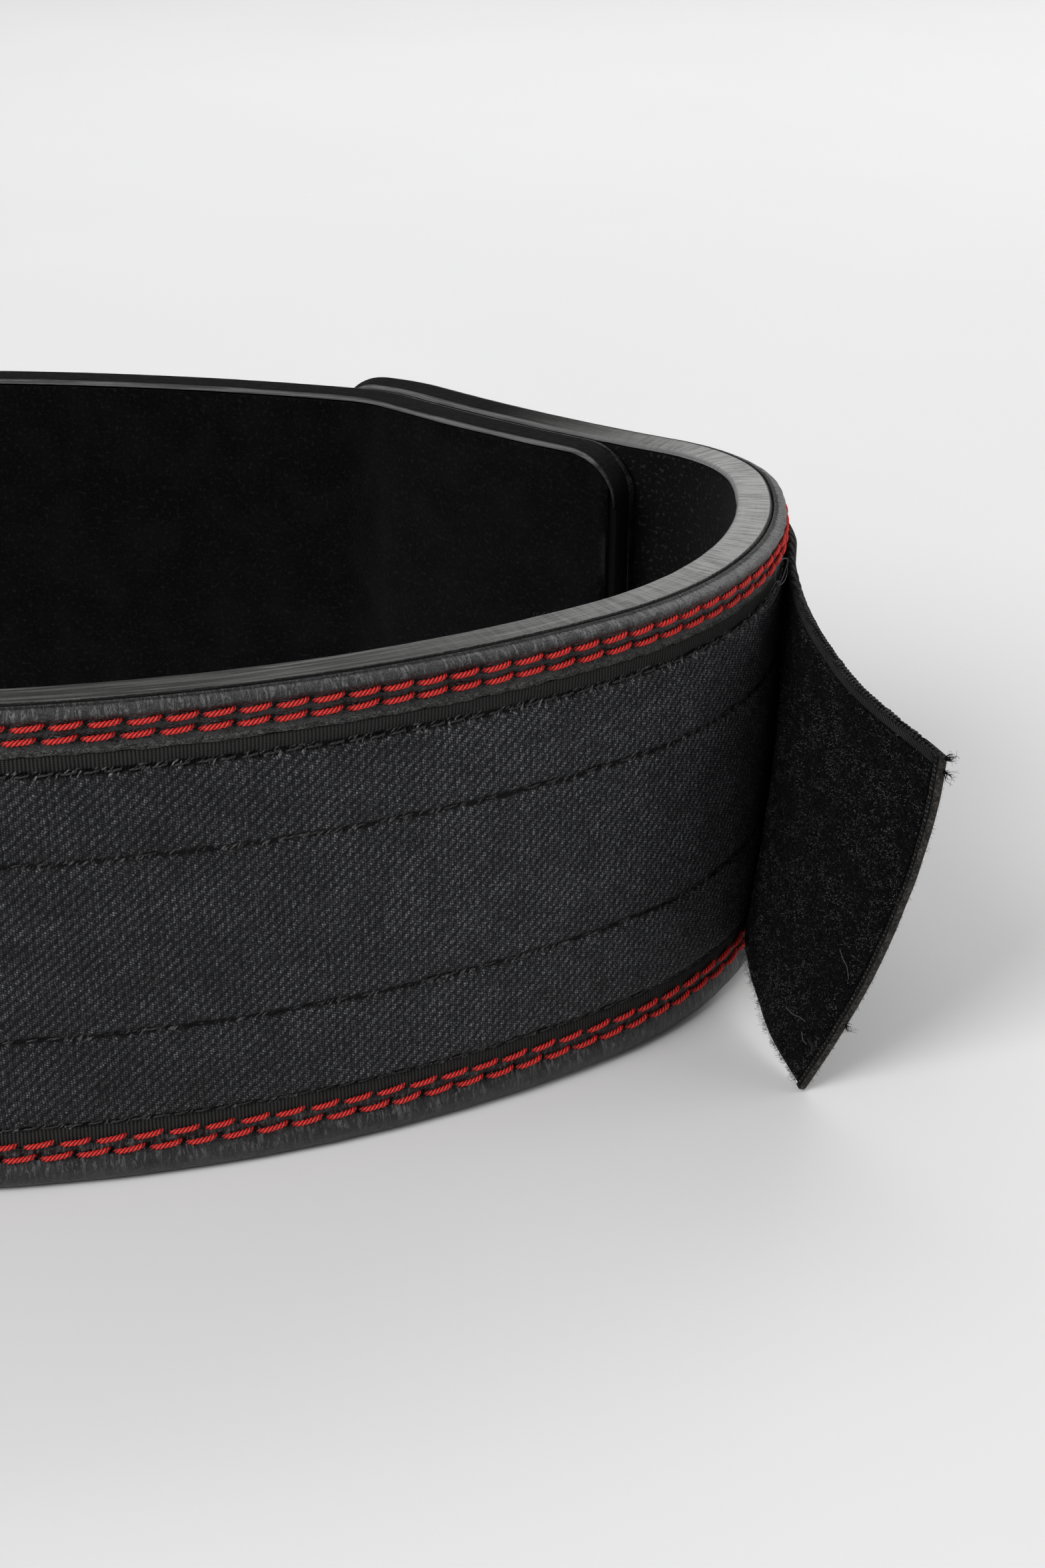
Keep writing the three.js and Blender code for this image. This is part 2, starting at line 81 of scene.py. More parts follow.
def make_loop():
    arcs = []
    for share, turn in ARCS:
        add_arc(arcs, share * RIGHT_RUN, math.radians(turn))
    x, _, heading = arc_point(arcs[-1], arcs[-1]["length"])
    left = math.pi - float(heading)
    add_arc(arcs, float(x) * left / math.sin(left), left)
    far = arcs[-1]["begins"] + arcs[-1]["length"]
    half = float(arc_point(arcs[-1], arcs[-1]["length"])[1]) / 2
    across = LEFT_REACH - LEFT_BEND
    wide = (across**2 + half**2 - LEFT_BEND**2) / (2 * (half - LEFT_BEND))
    wide_turn = math.atan2(across, wide - half)
    bend_turn = math.pi - 2 * wide_turn
    add_arc(arcs, wide * wide_turn, wide_turn)
    add_arc(arcs, LEFT_BEND * bend_turn, bend_turn)
    add_arc(arcs, wide * wide_turn, wide_turn)
    return arcs, far, arcs[-1]["begins"] + arcs[-1]["length"]


LOOP, FAR_MIDDLE, GIRTH = make_loop()
OUTER_LAP = FAR_MIDDLE - 87
BELT_START, BELT_END = OUTER_LAP - 94, OUTER_LAP + GIRTH
TAPE_START, TAPE_END = GIRTH - 50, BELT_END - 14
STRAP_START = OUTER_LAP + 26 + 60
ROOT_ARC = next(a for a in LOOP if a["heading"] + a["turn"] >= math.pi / 2)
FLAP_ROOT = ROOT_ARC["begins"] + ROOT_ARC["length"] * (math.pi / 2 - ROOT_ARC["heading"]) / ROOT_ARC["turn"]


def smooth(value, low, high):
    t = np.clip((value - low) / (high - low), 0, 1)
    return t * t * (3 - 2 * t)


def loop_at(s):
    s = np.mod(np.asarray(s, float), GIRTH)
    x, y, heading = (np.zeros_like(s) for _ in range(3))
    for arc in LOOP:
        on = (s >= arc["begins"]) & (s < arc["begins"] + arc["length"] + 1e-9)
        ax, ay, ah = arc_point(arc, s - arc["begins"])
        x, y, heading = np.where(on, ax, x), np.where(on, ay, y), np.where(on, ah, heading)
    return x + ORIGIN[0], y + ORIGIN[1], heading


def place(s, n, z):
    """Points at distances s along the loop, n outward from its line and z above the floor."""
    s, n, z = np.broadcast_arrays(s, n, z)
    x, y, heading = loop_at(s)
    out = n + FOOT_SPREAD * (1 - z / HEIGHT)
    return np.stack([x + np.sin(heading) * out, y - np.cos(heading) * out, z], -1)


def inset(s):
    return LAYER_INSET * (1 - smooth(np.asarray(s, float), FAR_MIDDLE, GIRTH))


def on_belt(s, n, z):
    return place(s, n - inset(s), z)


# The flap's curves

UPPER = ((.154, .006, 0), (.291, .038, .05), (.423, .103, .1), (.507, .187, .33), (.567, .286, .62),
         (.599, .385, .86), (.617, .478, 1.1), (.624, .553, 1.38))
LOWER = ((.156, 0, 0), (.298, 0, 0), (.413, .004, .05), (.522, .055, .19), (.599, .125, .38),
         (.666, .21, .62), (.731, .355, .95))


def unit(vectors):
    return vectors / np.linalg.norm(vectors, axis=-1, keepdims=True)


def spline_points(points, count=1200):
    """A centripetal Catmull-Rom curve through the points, with its length up to each sample."""
    p = np.vstack([2 * points[0] - points[1], points, 2 * points[-1] - points[-2]])
    out = []
    for i in range(1, len(p) - 2):
        a, b, c, d = p[i - 1:i + 3]
        d0, d1, d2 = (np.sum((v - u) ** 2) ** 0.25 for u, v in ((a, b), (b, c), (c, d)))
        t1 = ((b - a) / d0 - (c - a) / (d0 + d1) + (c - b) / d1) * d1
        t2 = ((c - b) / d1 - (d - b) / (d1 + d2) + (d - c) / d2) * d1
        t = np.linspace(0, 1, count // (len(p) - 3), endpoint=False)[:, None]
        out.append(b + t1 * t + (-3 * b + 3 * c - 2 * t1 - t2) * t**2 + (2 * b - 2 * c + t1 + t2) * t**3)
    out = np.vstack(out + [p[-2][None]])
    run = np.concatenate([[0], np.cumsum(np.linalg.norm(np.diff(out, axis=0), axis=1))])
    return out, run


# The flap's edges start on the belt, this far before its root.
FLAP_LEAD = (12, 6, 0)


def flap_edge(rows, height):
    room = STRAP_LOW - 0.3
    lead = [place(FLAP_ROOT + back, GRIP_FACE, height) for back in FLAP_LEAD]
    free = [place(FLAP_ROOT - a * FLAP_LENGTH, GRIP_FACE + l * FLAP_LENGTH, height - d * room)
            for a, l, d in rows]
    return spline_points(np.array(lead + free))


EDGES = (flap_edge(LOWER, STRAP_LOW), flap_edge(UPPER, STRAP_HIGH))


def strap_edges(reach):
    """The strap's lower and upper edge at distances from the flap's root, negative on the belt."""
    reach = np.asarray(reach, float)
    found = []
    for (points, run), height in zip(EDGES, (STRAP_LOW, STRAP_HIGH)):
        begin = FLAP_LEAD[0]
        at = begin + (run[-1] - begin) * np.clip(reach, 0, FLAP_LENGTH) / FLAP_LENGTH
        free = np.stack([np.interp(at, run, points[:, k]) for k in range(3)], -1)
        s = FLAP_ROOT - reach
        down = smooth(s, OUTER_LAP + 0.8, OUTER_LAP + 26)
        back = place(s, GRIP_FACE + (SEWN_FACE - GRIP_FACE) * down, height)
        found.append(np.where((reach < 0)[..., None], back, free))
    return found


def strap_frame(reach):
    low, high = strap_edges(reach)
    before, after = (sum(strap_edges(r)) / 2 for r in (reach - 0.5, np.minimum(reach + 0.5, FLAP_LENGTH)))
    return low, high, unit(np.cross(before - after, high - low))


def strap_points(reach, across, depth):
    """Points of the strap on a grid: reach along it, across from 0 to 1, depth outward."""
    reach = reach[:, None]
    # The free end is cut in a shallow arc, longest in its middle.
    arc = 16 * across * (1 - across) - 1.4 + 1.2 * (1 - across) ** 4
    at = reach + arc * smooth(reach, 50, FLAP_LENGTH)
    low, high, outward = strap_frame(np.minimum(at, FLAP_LENGTH))
    # Past the solid's end it goes straight on, as its lower edge does.
    before, last = strap_edges(np.array([FLAP_LENGTH - 1, FLAP_LENGTH]))[0]
    over = np.maximum(at - FLAP_LENGTH, 0)[..., None] * (last - before)
    bow = FLAP_BOW * smooth(at, FLAP_LENGTH / 3, FLAP_LENGTH) * 4 * across * (1 - across)
    # Off the belt the strap lies a little nearer to it than the solid does.
    out = depth + bow - 0.8 * smooth(at, 0, 18)
    return low + over + (high - low) * across[..., None] + outward * out[..., None]


# Meshes

def mesh_piece(name, points, faces, flat=None, nodes=(), slot=None, material=None):
    """A mesh on the belt's body. points and flat are in millimetres."""
    mesh = bpy.data.meshes.new(name)
    points = np.asarray(points, float).reshape(-1, 3) * 0.001
    faces = np.asarray(faces, np.int32)
    mesh.vertices.add(len(points))
    mesh.vertices.foreach_set("co", points.astype(np.float32).ravel())
    sides = faces.shape[1]
    mesh.loops.add(faces.size)
    mesh.loops.foreach_set("vertex_index", faces.ravel())
    mesh.polygons.add(len(faces))
    mesh.polygons.foreach_set("loop_start", np.arange(0, faces.size, sides, dtype=np.int32))
    mesh.update(calc_edges=True)
    mesh.validate()
    mesh.polygons.foreach_set("use_smooth", np.full(len(mesh.polygons), True))
    if flat is not None:
        attribute = mesh.attributes.new("flat", "FLOAT_VECTOR", "POINT")
        values = np.asarray(flat, float).reshape(-1, 3) * 0.001
        attribute.data.foreach_set("vector", values.astype(np.float32).ravel())
    piece = bpy.data.objects.new(name, mesh)
    bpy.context.collection.objects.link(piece)
    if material:
        mesh.materials.append(material)
    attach(piece, "root")
    if nodes:
        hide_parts(*nodes)
    return piece


def ring_faces(sections, size, start=0):
    """Quads of a tube of sections, each a closed ring of size points."""
    i, j = np.meshgrid(np.arange(sections - 1), np.arange(size), indexing="ij")
    k = (j + 1) % size
    quads = np.stack([i * size + j, (i + 1) * size + j, (i + 1) * size + k, i * size + k], -1)
    return quads.reshape(-1, 4) + start


def end_caps(sections, size):
    """Quads that close both ends of a tube of flat rings."""
    near = np.array([[j, j + 1, size - 2 - j, size - 1 - j] for j in range(size // 2 - 1)])
    far = near[:, ::-1] + (sections - 1) * size
    return np.stack([near, far], 1).reshape(-1, 4)


def tube_strip(name, s, ring_n, ring_z, **keys):
    """A closed strip swept along distances s of the belt, whose ring is given at each of them."""
    points = on_belt(s[:, None], ring_n, ring_z)
    flat = np.stack(np.broadcast_arrays(s[:, None], ring_z, ring_n), -1)
    shape = ring_n.shape
    return mesh_piece(name, points, np.vstack([ring_faces(*shape), end_caps(*shape)]), flat, **keys)


def noise_1d(x, scale, seed):
    """Smooth noise between -1 and 1."""
    table = np.random.default_rng(seed).uniform(-1, 1, 4096)
    u = np.asarray(x, float) / scale
    i = np.floor(u).astype(int)
    f = u - i
    f = f * f * (3 - 2 * f)
    return table[i % 4096] * (1 - f) + table[(i + 1) % 4096] * f


def noise_2d(x, y, scale, seed):
    table = np.random.default_rng(seed).uniform(-1, 1, (512, 512))
    u, v = np.broadcast_arrays(np.asarray(x, float) / scale, np.asarray(y, float) / scale)
    i, j = np.floor(u).astype(int), np.floor(v).astype(int)
    f, g = u - i, v - j
    f, g = f * f * (3 - 2 * f), g * g * (3 - 2 * g)
    at = lambda a, b: table[a % 512, b % 512]
    return ((at(i, j) * (1 - f) + at(i + 1, j) * f) * (1 - g)
            + (at(i, j + 1) * (1 - f) + at(i + 1, j + 1) * f) * g)


# Materials

# Between these distances along the belt, at the bend under the strap, its painted edge carries a painted highlight.
BEND_FROM, BEND_TO = (GIRTH + 150) / 1000, (GIRTH + 330) / 1000


class Nodes:
    """Builds a material's nodes. Values are sockets or numbers."""

    def __init__(self, name):
        self.material = bpy.data.materials.new(name)
        self.material.use_nodes = True
        self.tree = self.material.node_tree
        self.shader = self.tree.nodes["Principled BSDF"]

    def put(self, socket, value):
        if isinstance(value, bpy.types.NodeSocket):
            self.tree.links.new(value, socket)
        elif socket.type == "RGBA":
            # One number is a grey.
            socket.default_value = (*(value if isinstance(value, tuple) else (value,) * 3), 1)
        else:
            socket.default_value = value

    def node(self, kind, **inputs):
        """A new node with its inputs set, where _ stands for a space in an input's name."""
        node = self.tree.nodes.new("ShaderNode" + kind)
        for name, value in inputs.items():
            self.put(node.inputs[name.replace("_", " ")], value)
        return node

    def math(self, operation, a, b=None):
        node = self.node("Math")
        node.operation = operation
        for socket, value in zip(node.inputs, (a, b)):
            if value is not None:
                self.put(socket, value)
        return node.outputs[0]

    def add(self, a, b):
        return self.math("ADD", a, b)

    def sub(self, a, b):
        return self.math("SUBTRACT", a, b)

    def mul(self, a, b):
        return self.math("MULTIPLY", a, b)

    def fade(self, value, low, high, to_low=0.0, to_high=1.0):
        node = self.node("MapRange", Value=value, From_Min=low, From_Max=high, To_Min=to_low, To_Max=to_high)
        node.interpolation_type = "SMOOTHSTEP"
        return node.outputs[0]

    def ribs(self, distance, pitch):
        """Rounded ribs, 0 between them and 1 on their crests."""
        return self.math("ABSOLUTE", self.math("SINE", self.mul(distance, math.pi / pitch)))

    def flat(self):
        """Distances in metres along the strip, above its foot and outward."""
        node = self.node("Attribute")
        node.attribute_name = "flat"
        split = self.node("SeparateXYZ", Vector=node.outputs["Vector"])
        return node.outputs["Vector"], *split.outputs

    def vector(self, x, y, z=0.0):
        return self.node("CombineXYZ", X=x, Y=y, Z=z).outputs[0]

    def scaled(self, vector, scale):
        node = self.node("VectorMath")
        node.operation = "MULTIPLY"
        self.put(node.inputs[0], vector)
        node.inputs[1].default_value = scale
        return node.outputs[0]

    def noise(self, vector, scale, detail=2.0, rough=0.5, distort=0.0):
        node = self.node("TexNoise", Vector=vector, Scale=scale, Detail=detail, Roughness=rough, Distortion=distort)
        return node.outputs["Fac"]

    def cells(self, vector, scale, random=1.0):
        node = self.node("TexVoronoi", Vector=vector, Scale=scale, Randomness=random)
        return node.outputs["Distance"], node.outputs["Color"]

    def mix(self, share, a, b):
        node = self.node("Mix")
        node.data_type = "RGBA"
        self.put(node.inputs[0], share)
        self.put(node.inputs[6], a)
        self.put(node.inputs[7], b)
        return node.outputs[2]

    def bump(self, height, distance):
        return self.node("Bump", Strength=1, Distance=distance, Height=height).outputs[0]

    def finish(self, color, roughness, normal=None, **values):
        """Sets the shader. values are its other inputs, with _ for a space."""
        self.put(self.shader.inputs["Base Color"], color)
        self.put(self.shader.inputs["Roughness"], roughness)
        if normal is not None:
            self.tree.links.new(normal, self.shader.inputs["Normal"])
        for name, value in values.items():
            self.put(self.shader.inputs[name.replace("_", " ")], value)
        return self.material


def painted_edge():
    m = Nodes("painted_edge")
    flat, along, up, out = m.flat()
    streaks = m.noise(m.scaled(flat, (45, 1500, 1500)), 1.0, 4, 0.65)
    grain = m.noise(m.scaled(flat, (700, 1000, 1000)), 1.0, 3, 0.6)
    wrinkles = m.noise(m.scaled(flat, (1300, 110, 110)), 1.0, 2, 0.5, 0.5)
    wear_and_glints = m.noise(m.scaled(flat, (25, 200, 200)), 1.0, 3, 0.55)
    scuffs = m.mul(m.fade(streaks, 0.5, 0.64), m.fade(wear_and_glints, 0.4, 0.65))
    color = m.mix(m.fade(streaks, 0.38, 0.6), (0.008, 0.008, 0.0075), (0.06, 0.06, 0.056))
    color = m.mix(m.mul(scuffs, 0.8), color, (0.15, 0.15, 0.145))
    # Painted highlight: the edge grows lighter as it nears the bend.
    color = m.mix(m.fade(along, BEND_FROM - 0.16, BEND_FROM, 0.0, 0.25), color, (0.16, 0.16, 0.157))
    # Painted highlight where the belt bends, broken up by the stretch wrinkles.
    bend = m.mul(m.fade(along, BEND_FROM - 0.05, BEND_FROM + 0.09),
                 m.fade(along, BEND_TO - 0.06, BEND_TO, 1.0, 0.0))
    color = m.mix(m.mul(bend, m.fade(wrinkles, 0.3, 0.65, 0.45, 1.0)), color, (0.4, 0.4, 0.396))
    # Painted shade: the far side of the edge is dark.
    far = m.add(m.fade(along, BEND_TO - 0.02, BEND_TO + 0.02), m.fade(along, 0.5, 0.8, 1.0, 0.0))
    color = m.mix(far, color, 0.001)
    # Painted highlight where the rounded inner corner catches the light.
    corner = m.mul(m.fade(out, -0.0099, -0.0092, 1.0, 0.0), m.fade(up, 0.098, 0.1, 0.25, 1.0))
    color = m.mix(m.mul(corner, m.fade(streaks, 0.35, 0.6, 0.4, 0.9)), color, 0.2)
    # Painted shade: black in the gap next to the outer leather.
    color = m.mix(m.fade(m.add(out, m.mul(wrinkles, 0.0006)), -0.0025, -0.0021), color, 0.001)
    rough = m.add(m.fade(grain, 0.3, 0.7, 0.42, 0.56), m.mul(far, 0.44))
    height = m.add(streaks, m.add(m.mul(grain, 0.5), m.mul(wrinkles, 0.5)))
    return m.finish(color, rough, m.bump(height, 0.0004), Specular_IOR_Level=0.16)


def leather():
    m = Nodes("outer_leather")
    flat, along, up, out = m.flat()
    pores, _ = m.cells(flat, 1900, 1.0)
    grain = m.noise(flat, 1100, 4, 0.65)
    soft = m.noise(flat, 330, 3, 0.55, 0.9)
    # Fine creases fan out from the stitches towards the belt's edges.
    fan = m.noise(m.scaled(flat, (1500, 330, 330)), 1.0, 3, 0.65, 0.7)
    near_foot = m.mul(m.fade(up, 0.0022, 0.005), m.fade(up, 0.0105, 0.0125, 1.0, 0.0))
    near_top = m.fade(up, 0.0986, 0.1003, 0.05, 1.0)
    creases = m.mul(fan, m.add(near_foot, m.mul(near_top, 0.9)))
    height = m.add(m.mul(pores, -0.4), m.add(m.mul(grain, 0.7), m.add(m.mul(soft, 1.4), m.mul(creases, 2.6))))
    raw = m.mul(m.fade(up, 0.0934, 0.0939, 1.0, 0.0), m.fade(up, 0.085, 0.0921))
    tone = m.noise(flat, 130, 3, 0.6)
    color = m.mix(m.fade(tone, 0.35, 0.68), (0.005, 0.005, 0.0052), (0.029, 0.029, 0.03))
    # Painted highlights: glints on the fine creases near the foot and the top.
    wear_and_glints = m.mul(m.fade(fan, 0.5, 0.62), m.add(m.mul(near_foot, 0.6), m.mul(near_top, 0.85)))
    # Painted sheen: the leather's top, rolling up towards the light, is lighter.
    color = m.mix(m.mul(near_top, 0.7), color, (0.04, 0.04, 0.041))
    # Painted highlight on the leather's top part where the belt bends, broken up by the fine creases.
    bend = m.mul(m.fade(along, BEND_FROM - 0.02, BEND_FROM + 0.08), m.fade(up, 0.0955, 0.0985, 0.2, 0.85))
    color = m.mix(bend, color, m.mix(m.fade(fan, 0.35, 0.65), 0.1, (0.26, 0.26, 0.258)))
    color = m.mix(wear_and_glints, color, (0.16, 0.16, 0.163))
    color = m.mix(m.mul(m.fade(grain, 0.55, 0.7), 0.5), color, (0.06, 0.06, 0.0615))
    frayed = m.fade(m.noise(m.scaled(flat, (1, 1.6, 1)), 1400, 3, 0.7, 1.2), 0.45, 0.6)
    color = m.mix(raw, color, m.mix(frayed, 0.003, (0.1, 0.098, 0.094)))
    # Painted shade: black in the gap under the painted edge, with a toothed border.
    tooth = m.add(out, m.mul(m.sub(fan, 0.5), 0.0012))
    painted_crease_shade = m.mul(m.fade(tooth, -0.0009, -0.0006, 1.0, 0.0), m.fade(up, 0.099, 0.0995))
    color = m.mix(painted_crease_shade, color, 0.0008)
    # Painted shade in the holes of the red stitch rows.
    for row, first, pitch in RED_ROWS:
        turn = m.math("FRACT", m.math("DIVIDE", m.sub(along, (first + GIRTH) / 1000), pitch / 1000))
        aside = m.math("ABSOLUTE", m.sub(up, row / 1000))
        hole = m.mul(m.fade(turn, 0.8, 0.87), m.fade(aside, 0.0005, 0.0010, 1.0, 0.0))
        color = m.mix(hole, color, 0.0005)
    rough = m.add(m.fade(tone, 0.3, 0.7, 0.3, 0.5), m.mul(raw, 0.35))
    return m.finish(color, rough, m.bump(height, 0.0009), Specular_IOR_Level=0.5)


def suede():
    m = Nodes("suede")
    flat, along, _, _ = m.flat()
    nap = m.noise(flat, 1300, 4, 0.75)
    blotch = m.noise(flat, 90, 3, 0.6)
    speck = m.noise(flat, 900, 2, 0.5)
    color = m.mix(m.fade(blotch, 0.35, 0.7), (0.001, 0.001, 0.0011), (0.0036, 0.0036, 0.004))
    color = m.mix(m.mul(m.fade(nap, 0.5, 0.7), 0.6), color, (0.013, 0.0133, 0.0145))
    # The lining is lighter and more specked from the bend onwards.
    lighter_past_bend = m.fade(along, BEND_FROM, BEND_TO, 0.25, 1.0)
    color = m.mix(m.mul(lighter_past_bend, 0.5), color, (0.008, 0.008, 0.009))
    color = m.mix(m.mul(m.fade(speck, 0.55, 0.72), lighter_past_bend), color, (0.03, 0.03, 0.032))
    height = m.add(nap, m.mul(blotch, 0.6))
    return m.finish(color, 0.95, m.bump(height, 0.0004), Specular_IOR_Level=0.04,
                    Sheen_Weight=0.03, Sheen_Roughness=0.5)


def hook_cloth():
    m = Nodes("hook_fabric")
    flat, along, up, _ = m.flat()
    low, high = TAPE_LOW / 1000, TAPE_HIGH / 1000
    # The woven border: ribs across the tape, crossed by fine threads.
    sway = m.mul(m.sub(m.noise(flat, 160, 2, 0.5), 0.5), 0.0005)
    rib = m.ribs(m.add(along, sway), 0.00072)
    thread_line = m.ribs(m.add(up, sway), 0.0004)
    woven = m.mul(m.math("POWER", rib, 1.3), m.fade(thread_line, 0.0, 0.8, 0.45, 1.0))
    border = m.mix(woven, (0.002, 0.002, 0.0021), (0.045, 0.045, 0.0435))
    # The hook field: rows of fine hooks in ribs, every hook with its own glint.
    wander = m.mul(m.sub(m.noise(flat, 420, 3, 0.6), 0.5), 0.0008)
    bent = m.vector(m.add(along, wander), m.add(up, m.mul(along, 0.35)))
    dots, tint = m.cells(m.scaled(bent, (1 / 0.0005, 1 / 0.00052, 1.0)), 1.0, 0.4)
    split = m.node("SeparateColor", Color=tint)
    dot = m.fade(dots, 0.08, 0.55, 1.0, 0.08)
    lively = m.fade(split.outputs[0], 0, 1, 0.4, 1.0)
    lean = m.mul(m.sub(m.noise(flat, 45, 2, 0.5), 0.5), 0.002)
    column = m.fade(m.math("SINE", m.mul(m.add(along, wander), 2 * math.pi / 0.0014)), -0.9, 0.4, 0.55, 1.0)
    slanted = m.mul(m.sub(m.add(along, lean), m.mul(up, 1.05)), 2 * math.pi / 0.0023)
    diagonal = m.fade(m.math("SINE", slanted), -0.8, 0.5, 0.3, 1.0)
    # The painted glints come in patches and grow stronger towards the bend.
    glint_patches = m.mul(m.fade(m.noise(flat, 120, 3, 0.65), 0.3, 0.7, 0.7, 1.1),
                  m.fade(along, BEND_FROM - 0.09, BEND_FROM, 1.0, 1.5))
    field = m.mul(m.fade(up, low + 0.0041, low + 0.0049), m.fade(up, high - 0.0049, high - 0.0041, 1.0, 0.0))
    shine = m.mul(m.mul(dot, lively), m.mul(m.mul(column, diagonal), glint_patches))
    hooks = m.mix(shine, (0.002, 0.002, 0.0025), (0.315, 0.32, 0.345))
    color = m.mix(field, border, hooks)
    # Stitch rows: black painted shade in their holes and grooves, with bits of thread between them.
    for k, (row, _) in enumerate(BLACK_ROWS):
        sag = m.mul(m.sub(m.noise(m.vector(along, 0.0), 110, 2, 0.5), 0.5), 0.0014)
        away = m.math("ABSOLUTE", m.sub(m.add(up, sag), row / 1000))
        ragged = m.mul(m.sub(m.noise(flat, 900, 2, 0.6), 0.5), 0.0012)
        band = m.fade(m.add(away, ragged), 0.0003, 0.0010, 1.0, 0.0)
        slant = m.vector(m.mul(m.sub(along, up), 1500), m.mul(up, 700), float(k))
        bits = m.fade(m.noise(slant, 1.0, 2, 0.6), 0.52, 0.64)
        patch = m.fade(m.noise(m.vector(along, row), 300, 2, 0.6), 0.42, 0.52)
        bits = m.mul(m.mul(bits, patch), 1.0 if k in (0, 3) else 0.5)
        color = m.mix(band, color, m.mix(bits, 0.001, 0.26))
    # Painted shadow under the outer leather's raw edge, along the tape's top.
    color = m.mix(m.fade(up, high - 0.0005, high - 0.0002), color, 0.001)
    height = m.add(m.mul(field, dot), m.mul(m.sub(1.0, field), m.mul(woven, 0.8)))
    return m.finish(color, 0.6, m.bump(height, 0.0004), Specular_IOR_Level=0.15)


def twill():
    m = Nodes("selvedge_twill")
    flat, along, up, _ = m.flat()
    lines = m.ribs(m.add(along, m.mul(up, 0.9)), 0.00085)
    threads = m.ribs(m.sub(up, m.mul(along, 0.25)), 0.00042)
    cloth = m.mul(m.math("POWER", lines, 1.4), m.fade(threads, 0, 0.8, 0.45, 1.0))
    tone = m.noise(flat, 220, 3, 0.6)
    color = m.mix(m.mul(cloth, m.fade(tone, 0.3, 0.65, 0.5, 1.0)), (0.001, 0.001, 0.0012), 0.032)
    return m.finish(color, 0.62, m.bump(cloth, 0.0003), Specular_IOR_Level=0.3)


def end_cloth():
    m = Nodes("binding_fabric")
    flat, along, up, out = m.flat()
    # The row nearest the pile is open weave, dark holes between light dashes; the others are ribs.
    dash = m.fade(m.math("SINE", m.mul(along, 2 * math.pi / 0.00095)), -0.1, 0.5)
    open_row = m.fade(up, 0.0950, 0.0952, 1.0, 0.0)
    bits = m.fade(m.noise(m.scaled(flat, (1600, 2600, 1000)), 1.0, 3, 0.7), 0.4, 0.62)
    valley = m.math("ABSOLUTE", m.sub(up, 0.0951))
    groove = m.fade(valley, 0.00016, 0.00034)
    ribs = m.mix(bits, (0.008, 0.0075, 0.0065), (0.075, 0.07, 0.062))
    holes = m.mix(m.mul(dash, bits), 0.0012, (0.11, 0.105, 0.096))
    color = m.mix(open_row, ribs, holes)
    # Painted shade in the slot between the open row and the ribs.
    color = m.mix(groove, (0.0015, 0.0014, 0.0013), color)
    rust = m.fade(out, 0.0006, 0.0014)
    color = m.mix(m.mul(rust, 0.5), color, (0.03, 0.02, 0.013))
    return m.finish(color, 0.7, m.bump(m.add(bits, m.mul(dash, open_row)), 0.00025), Specular_IOR_Level=0.25)


def webbing():
    m = Nodes("strap_webbing")
    _, along, up, _ = m.flat()
    ribs = m.ribs(along, 0.0011)
    weft = m.ribs(up, 0.0006)
    cloth = m.mul(m.math("POWER", ribs, 0.8), m.fade(weft, 0, 1, 0.45, 1.0))
    color = m.mix(cloth, (0.0015, 0.0015, 0.0018), (0.018, 0.018, 0.019))
    return m.finish(color, 0.7, m.bump(cloth, 0.0004), Specular_IOR_Level=0.3)


def pile_cloth():
    m = Nodes("loop_fabric")
    flat = m.flat()[0]
    curls = m.noise(flat, 2300, 4, 0.75, 1.6)
    color = m.mix(m.fade(curls, 0.5, 0.64), (0.0005, 0.0005, 0.0007), (0.03, 0.03, 0.032))
    return m.finish(color, 0.9, m.bump(curls, 0.0008), Specular_IOR_Level=0.08)


def thread(name, dark, light, rough=0.5, shine=0.5, twisted=False):
    m = Nodes(name)
    place_node = m.node("TexCoord")
    fibre = m.noise(place_node.outputs["Object"], 5200, 3, 0.7)
    share = m.fade(fibre, 0.35, 0.7)
    if twisted:
        # Painted highlight on the strand's crests, painted shade in the grooves between its plies and at its two
        # ends.
        _, crest, end, _ = m.flat()
        share = m.mul(m.fade(crest, 0.0001, 0.0007), m.fade(fibre, 0.3, 0.7, 0.75, 1.0))
        share = m.mul(share, m.fade(end, 0.0005, 0.00098, 1.0, 0.2))
    color = m.mix(share, dark, light)
    return m.finish(color, rough, m.bump(fibre, 0.00006), Specular_IOR_Level=shine)


def floor_paint():
    m = Nodes("floor_paint")
    place_node = m.node("TexCoord")
    tone = m.noise(place_node.outputs["Object"], 6, 2, 0.5)
    return m.finish(m.mix(tone, 0.80, 0.83), 0.7, Specular_IOR_Level=0.2)


# Camera and light

def make_camera():
    camera = bpy.data.objects.new("camera", bpy.data.cameras.new("camera"))
    camera.data.sensor_fit = "VERTICAL"
    camera.data.sensor_height = 36
    camera.data.sensor_width = 24
    camera.data.lens = 3497.63 / 2352 * 36
    camera.data.clip_start = 0.01
    turn = Matrix.Rotation(math.pi / 2 - 0.45497, 4, "X") @ Matrix.Rotation(0.015307, 4, "Z")
    camera.matrix_world = Matrix.Translation((0.11177, -0.48218, 0.271725)) @ turn
    bpy.context.collection.objects.link(camera)
    bpy.context.scene.camera = camera


def area_light(name, where, to, size, power):
    data = bpy.data.lights.new(name, "AREA")
    data.shape = "RECTANGLE"
    data.size, data.size_y = size
    data.energy = power
    light = bpy.data.objects.new(name, data)
    aim = Matrix.Translation(where).to_translation() - Matrix.Translation(to).to_translation()
    light.matrix_world = Matrix.Translation(where) @ aim.to_track_quat("Z", "Y").to_matrix().to_4x4()
    bpy.context.collection.objects.link(light)


# Strength of the room's own light.
WORLD = 0.3
